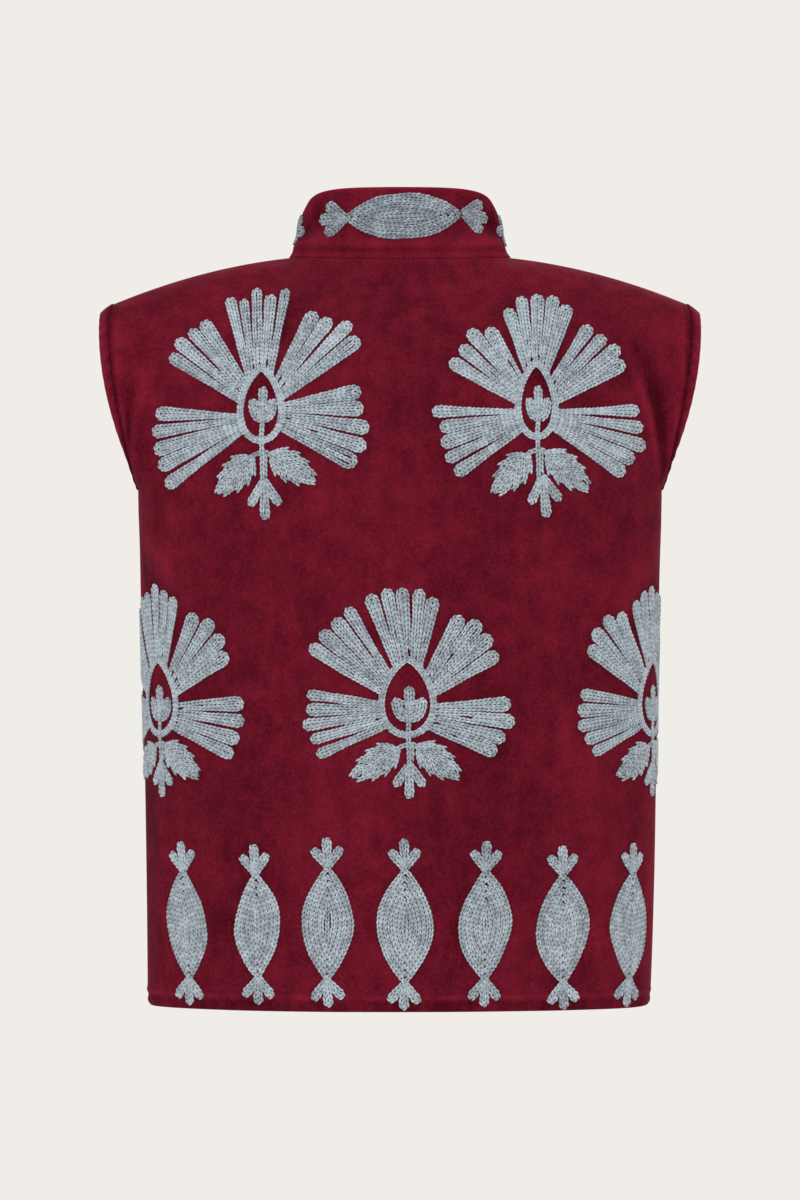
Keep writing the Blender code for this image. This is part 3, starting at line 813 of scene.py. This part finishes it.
# The chain stitch
# Thick grey-blue thread worked with a hook: each loop comes up inside the one before, so a row
# looks like a plait 4 mm wide. One loop is shaped here and then repeated.
LOOP_PITCH = 0.0037
STRAND_HALF_WIDTH = 0.00112
STRAND_HALF_LENGTH = 0.00272
STRAND_HALF_HEIGHT = 0.00100
STRAND_APART = 0.00092
STRAND_SPREAD = 0.00046
STRAND_BOW = 0.00020
STRAND_LIFT = 0.00080
STRAND_DIP = 0.00050
STRAND_RISE = 0.00022
bpy.ops.object.select_all(action="DESELECT")
bpy.ops.mesh.primitive_uv_sphere_add(segments=4, ring_count=4, radius=1, location=(0, 0, 0))
loop = bpy.context.object
loop.name = "chain_loop"
for axis, degrees in (("X", 90), ("Y", 45)):
    edit_whole_mesh(
        bpy.ops.transform.rotate,
        value=math.radians(degrees),
        orient_axis=axis,
        orient_type="GLOBAL",
        center_override=(0, 0, 0),
    )
half_sizes = (STRAND_HALF_WIDTH, STRAND_HALF_LENGTH, STRAND_HALF_HEIGHT)
edit_whole_mesh(bpy.ops.transform.resize, value=half_sizes, center_override=(0, 0, 0))
loop_points = np.array([vertex.co for vertex in loop.data.vertices])
forward = loop_points[:, 1] / STRAND_HALF_LENGTH
loop_points[:, 0] += STRAND_APART + STRAND_SPREAD * forward - STRAND_BOW * forward**2
loop_points[:, 2] += STRAND_LIFT - STRAND_DIP * forward**2 + STRAND_RISE * forward
loop.data.vertices.foreach_set("co", loop_points.reshape(-1).astype(np.float32))
edit_whole_mesh(bpy.ops.mesh.quads_convert_to_tris)
edit_whole_mesh(bpy.ops.mesh.duplicate)
# The copy is left selected. Mirrored, it is the loop's other strand.
bpy.ops.object.mode_set(mode="EDIT")
bpy.ops.transform.mirror(constraint_axis=(True, False, False), center_override=(0, 0, 0))
bpy.ops.object.mode_set(mode="OBJECT")
edit_whole_mesh(bpy.ops.mesh.normals_make_consistent, inside=False)
LOOP_POINTS = np.array([vertex.co for vertex in loop.data.vertices])
LOOP_FACES = np.array([tuple(face.vertices) for face in loop.data.polygons])
LOOP_UVS = np.array([corner.uv for corner in loop.data.uv_layers.active.data])
# The triangles are sorted, so that they come in the same order each run.
order = np.lexsort(LOOP_FACES.T)
LOOP_FACES = LOOP_FACES[order]
LOOP_UVS = LOOP_UVS.reshape(-1, 3, 2)[order].reshape(-1, 2)
bpy.data.objects.remove(loop)


def thread_material():
    """Grey-blue thread, nearly matt, lighter and darker from loop to loop."""
    material, tree, shader = new_material(
        "grey_blue_thread", Roughness=0.62, Specular_IOR_Level=0.35, Sheen_Weight=0.15
    )
    tone = add_node(tree, "Attribute", "Fac")
    tone.node.attribute_name = "tone"
    clouds = noise_node(tree, add_node(tree, "TexCoord", "Object"), 55, 4)
    tone = weighted_sum(tree, tone, (clouds, 0.5))
    tones = tones_node(tree, tone, (0.170, 0.200, 0.238), (0.490, 0.578, 0.655), 0.18, 0.95)
    tree.links.new(tones, shader.inputs["Base Color"])
    fibres = bands_node(tree, add_node(tree, "TexCoord", "UV"), 7, 1.2)
    raise_surface(tree, shader, fibres, 0.5, 0.0002)
    return material


THREAD = thread_material()


def surface_tree(*grids):
    """The outer surfaces of some pieces, to lay stitches on."""
    points = []
    faces = []
    for grid in grids:
        rows, columns = grid.shape[:2]
        index = np.arange(rows * columns).reshape(rows, columns) + len(points)
        corners = np.stack([index[:-1, :-1], index[:-1, 1:], index[1:, 1:], index[1:, :-1]], -1)
        points.extend(map(Vector, grid.reshape(-1, 3)))
        faces.extend(corners.reshape(-1, 4).tolist())
    return BVHTree.FromPolygons(points, faces)


BODY_SURFACE = surface_tree(back_points, front_points["left"], front_points["right"])
COLLAR_SURFACE = surface_tree(collar_points)


def on_body(right, height):
    """Cloth below the chest; right is counted along it from the centre back."""
    height = max(height, HEM_Z + 0.0025)
    share = abs(right) / QUARTER_GIRTH
    side = -1.0 if right > 0 else 1.0
    face = 1 if share <= 1.0 else -1
    guess = body_ring(face, side, np.array([share if face > 0 else 2.0 - share]), height)[0]
    place, normal, _, _ = BODY_SURFACE.find_nearest(Vector(guess))
    return place, normal, Vector((guess[0], guess[1], 0))


def on_upper(face):
    """Cloth of the shoulders as it is seen from straight behind (1) or in front (-1)."""

    def upper_place(right, height):
        start = Vector((-face * right, face * 0.4, height))
        place, normal, _, _ = BODY_SURFACE.ray_cast(start, Vector((0, -face, 0)))
        return place, normal, Vector((0, face, 0.2))

    return upper_place


def on_collar(right, height):
    column = np.interp(-right, collar_along, np.arange(len(collar_along)))
    near = int(np.clip(round(column), 0, len(collar_along) - 1))
    row = height / collar_heights[near] * COLLAR_ROWS
    low = int(np.clip(math.floor(row), 0, COLLAR_ROWS - 1))
    left = int(np.clip(math.floor(column), 0, len(collar_along) - 2))
    over = column - left
    lower = blend(collar_points[low, left], collar_points[low, left + 1], over)
    upper = blend(collar_points[low + 1, left], collar_points[low + 1, left + 1], over)
    guess = blend(lower, upper, row - low)
    place, normal, _, _ = COLLAR_SURFACE.find_nearest(Vector(guess))
    return place, normal, Vector((guess[0], guess[1] + COLLAR_MIDDLE, 0))


def even_steps(path, step):
    """Points along a path at equal steps. Only its first three columns are places."""
    length = lengths_along(path[:, :3])
    count = max(int(round(length[-1] / step)), 2)
    at = np.linspace(0.0, length[-1], count + 1)
    return np.stack([np.interp(at, length, path[:, k]) for k in range(path.shape[1])], axis=1)


def worked_rows(rows, right, height, turn, size, cloth):
    """Lay a motif's rows on the cloth.

    Rows are in millimetres round the motif's middle, whose place is in millimetres too.
    """
    stitched = []
    cos, sin = math.cos(math.radians(turn)), math.sin(math.radians(turn))
    for row in rows:
        flat = even_steps(np.asarray(row, dtype=float) * size / 1000, LOOP_PITCH / 2)
        u = right / 1000 + flat[:, 0] * cos - flat[:, 1] * sin
        v = height / 1000 + flat[:, 0] * sin + flat[:, 1] * cos
        found = []
        for place_right, place_height in zip(u, v):
            place, normal, out = cloth(place_right, place_height)
            if place is None:
                continue
            if normal.dot(out) < 0:
                normal = -normal
            found.append((*place, *normal))
        if len(found) > 3:
            stitched.append(even_steps(np.array(found), LOOP_PITCH))
    return stitched


TONE_FROM = 0.20
TONE_TO = 0.40
TONE_SCATTER = 0.19
TONE_LIFT = 0.12
# Painted shade at the ends of each strand, where it tucks under the next loop.
TUCKED_PAINTED_SHADE = -0.30
STRAND_TONE = 0.10
LOOP_TILT = 0.10
ABOVE_CLOTH = 0.0001


def stitch_rows(name, rows, seed, shade=0.0):
    """Repeat the loop along every row and join the loops into one piece of embroidery.

    A shade below nought is painted shade on the thread, for the collar, which lies in shade.
    """
    dice = np.random.default_rng(seed)
    places, ahead, up, stretch, tones = [], [], [], [], []
    for row in rows:
        start, end = row[:-1, :3], row[1:, :3]
        normal = unit(row[:-1, 3:6] + row[1:, 3:6])
        run = unit(end - start)
        places.append((start + end) / 2)
        ahead.append(run)
        up.append(unit(normal - run * np.sum(normal * run, axis=1, keepdims=True)))
        stretch.append(np.linalg.norm(end - start, axis=1) / LOOP_PITCH)
        row_tone = dice.uniform(TONE_FROM, TONE_TO)
        tones.append(row_tone + dice.uniform(-TONE_SCATTER, TONE_SCATTER, len(start)))
    places, ahead, up = map(np.concatenate, (places, ahead, up))
    stretch, tones = map(np.concatenate, (stretch, tones))
    count = len(places)
    tilt = dice.uniform(-LOOP_TILT, LOOP_TILT, count)[:, None]
    across = np.cross(ahead, up)
    ahead, across = (
        ahead * np.cos(tilt) + across * np.sin(tilt),
        across * np.cos(tilt) - ahead * np.sin(tilt),
    )
    wide = dice.uniform(1.04, 1.22, count)
    loops = (
        places[:, None, :]
        + across[:, None, :] * (LOOP_POINTS[None, :, 0:1] * wide[:, None, None])
        + ahead[:, None, :] * (LOOP_POINTS[None, :, 1:2] * stretch[:, None, None])
        + up[:, None, :] * (LOOP_POINTS[None, :, 2:3] + ABOVE_CLOTH)
    )
    faces = LOOP_FACES[None] + (np.arange(count) * len(LOOP_POINTS))[:, None, None]
    mesh = bpy.data.meshes.new(name)
    mesh.from_pydata(loops.reshape(-1, 3).tolist(), [], faces.reshape(-1, 3).tolist())
    layer = mesh.uv_layers.new(name="thread")
    layer.data.foreach_set("uv", np.tile(LOOP_UVS, (count, 1)).reshape(-1).astype(np.float32))
    tone = mesh.attributes.new("tone", "FLOAT", "POINT")
    strand = dice.uniform(-STRAND_TONE, STRAND_TONE, count)[:, None] * np.sign(LOOP_POINTS[:, 0])
    # Painted shade on each strand's ends, where they tuck under the next loop.
    tucked_shade = TUCKED_PAINTED_SHADE * np.clip(np.abs(LOOP_POINTS[:, 1]) / STRAND_HALF_LENGTH, 0, 1) ** 2
    shades = tones[:, None] + strand + tucked_shade + TONE_LIFT + shade
    tone.data.foreach_set("value", shades.reshape(-1).astype(np.float32))
    mesh.shade_smooth()
    mesh.materials.append(THREAD)
    piece = bpy.data.objects.new(name, mesh)
    bpy.context.scene.collection.objects.link(piece)
    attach(piece, "root")


# The motifs
# Ordinary flowers, leaves and buds, each drawn from a few sizes in millimetres and degrees. Fans
# of round-ended petals stand round a pointed ring with a three-lobed bud in it. ROW is the
# distance between neighbouring rows of stitches.
ROW = 3.8
FAN_COLUMNS = "tip_from tip_to reach_from reach_to bulge root_from root_to petals".split()
MIDDLE_FANS = (
    (109.5, 75.8, 89.5, 87.5, 4.5, 112, 68, 5),
    (149.5, 123, 88, 88, 3.5, 163, 119, 4),
    (209, 175, 84, 83.8, 2.0, 231, 176, 5),
    (58.5, 28, 83, 85, 4.0, 60, 13, 4),
    (0, -28.5, 84.5, 85, 3.0, 0, -54, 4),
)
LEFT_SHOULDER_FANS = (
    (107, 78.5, 88.5, 93, 0.5, 121, 69, 5),
    (151, 125, 82.5, 86, 1.0, 178, 120, 4),
    (220, 184.5, 97, 84, 1.5, 240, 206, 5),
    (60.5, 33.5, 86, 91, 4.0, 62, 7, 4),
    (7, -32, 80.5, 93, 1.5, 2, -56, 5),
)
RIGHT_SHOULDER_FANS = (
    (106, 72, 83, 84, 6.0, 111, 68, 5),
    (154, 122, 76, 73, 2.5, 186, 117, 4),
    (221, 185.4, 89, 81, 0.0, 245, 200, 5),
    (54.7, 25, 75, 80, 4.5, 60, -6, 4),
    (-3.3, -38, 86.5, 92.5, 3.5, -20, -62, 5),
)
FLOWER_COLUMNS = (
    "ring_half ring_top ring_foot branch bud_root bud bud_lean "
    "left_leaf_out left_leaf_down right_leaf_out right_leaf_down"
).split()
MIDDLE_FLOWER = (20, 34, -24, -32, -47, 29, 0, 45, 26, 42, 26)
LEFT_SHOULDER_FLOWER = (15.5, 28, -28, -38, -59, 33, 2, 34, 32, 43, 23)
RIGHT_SHOULDER_FLOWER = (13.9, 31, -26, -37, -57, 34, 6, 34, 34, 41, 31)


def polar(angle, reach):
    return np.array([math.cos(math.radians(angle)), math.sin(math.radians(angle))]) * reach


def bent_line(start, over, end, count=12):
    """A smooth line from start to end that leans towards a third point."""
    t = np.linspace(0.0, 1.0, count)[:, None]
    start, over, end = (np.asarray(point, dtype=float) for point in (start, over, end))
    return start * (1 - t) ** 2 + over * 2 * t * (1 - t) + end * t**2


CORE_ROOM = 2.6
THINNEST = 0.4


def petal_rows(spine, half, stop=0.0, core=0.45):
    """A row up one side of a petal, round its end and down the other, and one in the middle.

    The row ends where stop says, as a share of the way down, and a petal without the room for
    a middle row has none.
    """
    length = lengths_along(spine)
    end = length[-1] - half[-1]
    up = np.linspace(0.0, end, 18)
    middle = np.stack([np.interp(up, length, spine[:, k]) for k in (0, 1)], axis=1)
    inset = np.maximum(np.interp(up, length, half) - ROW / 2, THINNEST)[:, None]
    ahead = unit(np.gradient(middle, axis=0))
    aside = np.stack([-ahead[:, 1], ahead[:, 0]], axis=1)
    bow = np.linspace(0.0, math.pi, 9)[1:-1, None]
    tip = middle[-1] + inset[-1] * (np.cos(bow) * aside[-1] + np.sin(bow) * ahead[-1])
    down = (middle - aside * inset)[::-1]
    kept = up[::-1] >= stop * end
    rows = [np.concatenate([middle + aside * inset, tip, down[kept]])]
    core_end = middle[-1] + ahead[-1] * (inset[-1] - ROW * 0.75)
    if inset[-1, 0] > CORE_ROOM:
        rows.append(np.concatenate([middle[up >= core * end], core_end[None]]))
    return rows


RING_SWELL = 1.167
OUTER_RING = 1.6


def ring_line(flower, wider=0.0):
    """The pointed ring in a flower's middle; wider moves the line outwards."""
    turn = np.linspace(0.0, 2 * math.pi, 72)
    half = flower["ring_half"] + wider
    top = flower["ring_top"] + wider * 1.3
    foot = flower["ring_foot"] - wider
    x = half * RING_SWELL * np.sin(turn) * np.sqrt(np.sin(turn / 2))
    y = blend(foot, top, (1.0 + np.cos(turn)) / 2)
    return np.stack([x, y], axis=1)


# How the hand strays from one petal to the next: its end's distance and its place in the fan,
# and the slit beside it, which opens somewhere along the petal.
STRAY_REACH = 3.4
STRAY_PLACE = 0.05
SLIT_WIDTHS = (0.15, 1.30)
SLIT_STARTS = (0.10, 0.50)
CORE_STARTS = (0.30, 0.50)


def fan_rows(line, ring, dice):
    """The petals of one fan, from their roots on the ring to their ends."""
    fan = dict(zip(FAN_COLUMNS, line))
    ring_angle = np.degrees(np.arctan2(ring[:-1, 1], ring[:-1, 0]))
    ring_reach = np.linalg.norm(ring[:-1], axis=1)
    count = fan["petals"]
    marks = np.linspace(0.0, 1.0, 12)[:, None]

    def line_at(spread, longer=0.0):
        share = spread / (count - 1)
        reach = blend(fan["reach_from"], fan["reach_to"], share)
        reach += fan["bulge"] * (1.0 - (2.0 * share - 1.0) ** 2) + longer
        tip = polar(blend(fan["tip_from"], fan["tip_to"], share), reach)
        angle = blend(fan["root_from"], fan["root_to"], (spread + 0.5) / count)
        root = polar(angle, np.interp(angle, ring_angle, ring_reach, period=360))
        return root + (tip - root) * marks

    rows = []
    for k in range(count):
        drift = dice.uniform(-STRAY_PLACE, STRAY_PLACE)
        spine = line_at(k + drift, dice.uniform(-STRAY_REACH, STRAY_REACH))
        half = np.linalg.norm(line_at(k + 0.5) - line_at(k - 0.5), axis=1) / 2
        slit_start = dice.uniform(*SLIT_STARTS)
        slit = dice.uniform(*SLIT_WIDTHS) * soft_step((marks[:, 0] - slit_start) / 0.35)
        stop = 0.0 if k == count - 1 else dice.uniform(0.0, 0.10)
        rows += petal_rows(spine, half - slit, stop, dice.uniform(*CORE_STARTS))
    return rows


def bud_rows(root, facing_angle, length, side_reach, side_length, half, curl=0.5):
    """Three round petals on one root, the middle one longest; curl bends the outer two."""
    root = np.asarray(root, dtype=float)
    ahead = polar(facing_angle, 1.0)
    aside = np.array([-ahead[1], ahead[0]])
    rows = []
    for side in (1, -1):
        tip = root + ahead * side_length + aside * side_reach * side
        over = root + aside * side_reach * side * curl + ahead * side_length * (1.0 - curl)
        rows += petal_rows(bent_line(root, over, tip), np.linspace(2.6, half, 12), stop=0.1)
    spine = bent_line(root, root + ahead * length / 2, root + ahead * length)
    rows += petal_rows(spine, np.linspace(2.6, half * 1.05, 12), stop=0.1)
    return rows


LEAF_HALF_WIDTH = 11.5
LEAF_NARROWER_SIDE = 0.92
LEAF_SLANT = math.radians(37)
LEAF_TEETH = 4
LEAF_NOTCH = 3.2
LEAF_MARGIN = 2.2


def leaf_rows(stalk, root, tip):
    """A notched leaf: a rib, rows that slant off it, and a short row for each tooth."""
    root = np.asarray(root, dtype=float)
    run = np.asarray(tip, dtype=float) - root
    length = np.linalg.norm(run)
    ahead = run / length
    rows = [np.array([stalk, root, root + run * 0.5, root + run * 0.97], dtype=float)]
    along, outwards = math.cos(LEAF_SLANT), math.sin(LEAF_SLANT)
    halves = ((1, 0.5, 0.30, 1.0), (-1, 2.5, 0.55, LEAF_NARROWER_SIDE))
    for side, start, first_tooth, narrower in halves:
        width = LEAF_HALF_WIDTH * narrower
        aside = np.array([-ahead[1], ahead[0]]) * side

        def margin_at(place):
            return width * np.sin(math.pi * np.clip(place, 0.0, 1.0) ** 0.85) ** 0.7

        while start < length - 6:
            reach = np.linspace(1.0, 30.0, 120)
            room = margin_at((start + reach * along) / length) - LEAF_MARGIN
            inside = reach[reach * outwards <= room]
            if len(inside) > 8:
                out = ahead * along + aside * outwards
                foot = root + ahead * start
                rows.append([foot + out, foot + out * inside[-1]])
            start += ROW / outwards * 0.96
        for tooth in range(LEAF_TEETH):
            place = (tooth + first_tooth + np.array([-0.15, 0.45, 0.95])) / (LEAF_TEETH + 0.5)
            edge = np.maximum(margin_at(place) - (LEAF_NOTCH, 0.9, -0.7), 0.5)
            rows.append(root + np.outer(place * length, ahead) + np.outer(edge, aside))
    return rows


def flower_rows(fans, sizes, dice):
    """A whole flower: its fans, ring, inner bud, stalk, two leaves and the bud at its foot."""
    flower = dict(zip(FLOWER_COLUMNS, sizes))
    rows = []
    outer_ring = ring_line(flower, OUTER_RING)
    for line in fans:
        rows += fan_rows(line, outer_ring, dice)
    rows += [ring_line(flower), outer_ring]
    wide = flower["ring_half"] / 20
    foot = flower["ring_foot"]
    rows += bud_rows((1.5, -12), 90, 27, 10.0 * wide, 17.5, 4.2 * wide + 0.8, curl=1.1)
    rows.append([(-7 * wide, -3), (0, -7), (8 * wide, -3)])
    rows.append([(-6 * wide, 1), (1, 0), (8 * wide, 1)])
    branch = flower["branch"]
    low = flower["bud_root"]
    rows.append([(1.5, -11), (0.5, foot + 3), (1.0, branch), (1.5, low), (1.5, low - 8)])
    rows.append([(3.6, branch - 1), (3.4, low + 2)])
    left_tip = (-flower["left_leaf_out"], branch - flower["left_leaf_down"])
    right_tip = (flower["right_leaf_out"], branch - flower["right_leaf_down"])
    rows += leaf_rows((1, branch), (-6, branch - 2), left_tip)
    rows += leaf_rows((3, branch + 1), (6, branch - 1), right_tip)
    bud = (flower["bud"], 12.5, flower["bud"] * 0.66, 4.3)
    rows += bud_rows((1.5 + flower["bud_lean"] / 2, low), -90 + flower["bud_lean"], *bud)
    return rows


OVAL_ROW_NARROWER = 0.97
OVAL_ROW_SHORTER = 1.45
OVAL_RIPPLE = 0.35


def pointed_oval_rows(half_width, half_length, fullness, skew, dice):
    """Nested rows that fill a pointed oval, from the outside in."""
    rows = []
    width = half_width - ROW / 2
    length = half_length - 2.2
    up = np.sin(np.linspace(-math.pi / 2, math.pi / 2, 40))
    while width > 1.5 and length > 4:
        swell = 1.0 - np.abs(up) ** fullness
        lean = skew * (1.0 - up**2)
        ripple = OVAL_RIPPLE * np.sin(up * dice.uniform(3, 9) + dice.uniform(0, 6))
        right = np.stack([width * swell + ripple, (up + lean) * length], axis=1)
        left = np.stack([-width * swell + ripple, (up - lean) * length], axis=1)[::-1]
        rows.append(np.concatenate([right, left]))
        width -= ROW * OVAL_ROW_NARROWER
        length -= ROW * OVAL_ROW_SHORTER
    if width > -1.2:
        rows.append([(0.0, -max(length, 6)), (0.0, max(length, 6))])
    return rows


def hem_motif_rows(width, half_length, dice):
    """An upright pointed oval with a three-lobed sprig above and below."""
    rows = pointed_oval_rows(width / 2, half_length, 1.85, dice.uniform(-0.10, 0.12), dice)
    above = (dice.uniform(24, 26.5), 12.5, 16.5, 4.5)
    below = (dice.uniform(22, 24), 13.5, 16.5, 4.6)
    rows += bud_rows((0, half_length - 2), 90 + dice.uniform(-5, 5), *above)
    rows += bud_rows((0, -half_length + 2), -90 + dice.uniform(-5, 5), *below)
    return rows


def collar_motif_rows(dice):
    """The same oval lying on its side, with a fan of three broad petals at each end."""
    oval = pointed_oval_rows(18.4, 48.0, 2.5, 0.04, dice)
    rows = [np.asarray(row)[:, ::-1] for row in oval]
    rows += bud_rows((47.5, 1.5), -12, 26.5, 13.0, 20.0, 6.0)
    rows += bud_rows((-46.0, -1.0), 183, 25.5, 13.5, 19.0, 6.0)
    return rows


# Embroidery of the back
# Two flowers on the shoulder blades and one below them in the middle. Each has its own sizes,
# because they were drawn by hand.
dice = np.random.default_rng(5)


def worked_flowers(places, fans, sizes, cloth):
    rows = []
    for right, height, turn, size in places:
        flower = flower_rows(fans, sizes, dice)
        rows += worked_rows(flower, right, height, turn, size, cloth)
    return rows


LEFT_SHOULDER = (LEFT_SHOULDER_FANS, LEFT_SHOULDER_FLOWER)
RIGHT_SHOULDER = (RIGHT_SHOULDER_FANS, RIGHT_SHOULDER_FLOWER)
back_rows = worked_flowers(((-109, -120, 0, 1.0),), *LEFT_SHOULDER, on_upper(1))
back_rows += worked_flowers(((107, -119, 0, 1.0),), *RIGHT_SHOULDER, on_upper(1))
back_rows += worked_flowers(((6, -354.5, 0, 1.0),), MIDDLE_FANS, MIDDLE_FLOWER, on_body)
stitch_rows("embroidery_back_flowers", back_rows, 21)

# Embroidery across the side seams and on the fronts
# The flowers go on round the body at the same height, and two more lie on the chest.
for side_name, side in (("left", -1), ("right", 1)):
    at_side = 212 if side < 0 else 230
    places = ((side * at_side, -355, 0, 1.0), (side * 418, -353, 2 * side, 1.0))
    side_rows = worked_flowers(places, MIDDLE_FANS, MIDDLE_FLOWER, on_body)
    stitch_rows(f"embroidery_{side_name}_side_flowers", side_rows, 23)
chest_rows = worked_flowers(((-116, -134, -2, 0.98),), *RIGHT_SHOULDER, on_upper(-1))
chest_rows += worked_flowers(((116, -134, 2, 0.95),), *LEFT_SHOULDER, on_upper(-1))
stitch_rows("embroidery_chest_flowers", chest_rows, 24)

# Embroidery along the hem
# Seven upright ovals on the back and four on each front, 59 to 68 mm apart, whose lowest
# petals nearly reach the edge. A place is right, height, turn, width and half length.
BACK_HEM_PLACES = (
    (-187, -530, 2, 41, 44.5),
    (-119, -529.5, 1, 41, 42.5),
    (-59, -527, -1, 43, 46),
    (4, -529, 0, 47, 46.5),
    (70.5, -528.5, 0, 45.5, 44.7),
    (136.5, -532, 1, 46.5, 44.5),
    (201, -531.5, -2, 45, 44),
)
FRONT_HEM_PLACES = (
    (-479, -530, 1, 42, 44),
    (-420, -529, -1, 43, 45),
    (-361, -530, 1, 41, 43.5),
    (-302, -529, 0, 43, 44.5),
    (302, -529, 1, 42, 45),
    (361, -531, -1, 44, 44),
    (420, -529, 1, 42, 43.5),
    (479, -530, 0, 43, 45),
)
for panel, places in (("back", BACK_HEM_PLACES), ("front", FRONT_HEM_PLACES)):
    hem_rows = []
    for right, height, turn, width, half_length in places:
        motif = hem_motif_rows(width, half_length, dice)
        hem_rows += worked_rows(motif, right, height, turn, 1.0, on_body)
    stitch_rows(f"embroidery_{panel}_hem_row", hem_rows, 25)

# Embroidery of the collar
# One oval lies along the centre back, and one on each side runs on towards the front.
COLLAR_PLACES = ((3, 34.0, 1, 1.0), (-149, 26, -2, 0.90), (149, 26, 2, 0.90))
collar_rows = []
for right, height, turn, size in COLLAR_PLACES:
    collar_rows += worked_rows(collar_motif_rows(dice), right, height, turn, size, on_collar)
# The collar's thread is darkened by painted shade.
stitch_rows("embroidery_collar", collar_rows, 26, -0.27)

# Floor, light and surroundings
# A plain pale floor well under the vest, which fades into surroundings of the same tone, and
# large soft lights: a key and a fill for the back, one for the front, and one from above.
PALE = (0.871, 0.847, 0.807)
FLOOR_Z = -1.0
FLOOR_RADIUS = 1.5
FADE_FROM = 0.35
FADE_TO = 1.45
bpy.ops.object.select_all(action="DESELECT")
bpy.ops.mesh.primitive_circle_add(
    vertices=96, radius=FLOOR_RADIUS, fill_type="NGON", location=(0, 0, FLOOR_Z)
)
floor = bpy.context.object
floor.name = "floor"
floor_material, tree, shader = new_material("pale_floor", Base_Color=(*PALE, 1), Roughness=0.9)
reach = tree.nodes.new("ShaderNodeVectorMath")
reach.operation = "LENGTH"
tree.links.new(add_node(tree, "TexCoord", "Object"), reach.inputs[0])
fade = remap_node(tree, reach.outputs["Value"], FADE_FROM, FADE_TO, 1.0, 0.0)
tree.links.new(fade, shader.inputs["Alpha"])
floor.data.materials.append(floor_material)

world = bpy.data.worlds.new("pale_room")
world.use_nodes = True
world.node_tree.nodes["Background"].inputs["Color"].default_value = (*PALE, 1)
world.node_tree.nodes["Background"].inputs["Strength"].default_value = 1.0
bpy.context.scene.world = world
bpy.context.scene.view_settings.view_transform = "Standard"

LIT_Z = -0.3
LIGHTS = (
    ("key", (1.6, 3.4, 1.7), 46, 2.2),
    ("fill", (-2.4, 3.0, 0.3), 16, 2.4),
    ("front_side", (-0.8, -3.4, 1.4), 44, 2.4),
    ("top", (0.0, 0.0, 2.6), 10, 1.6),
)
for name, place, watts, size in LIGHTS:
    bpy.ops.object.light_add(type="AREA", location=place)
    light = bpy.context.object
    light.name = f"{name}_light"
    light.data.shape = "DISK"
    light.data.size = size
    light.data.energy = watts
    aim = Vector((0, 0, LIT_Z)) - Vector(place)
    light.rotation_euler = aim.to_track_quat("-Z", "Y").to_euler()
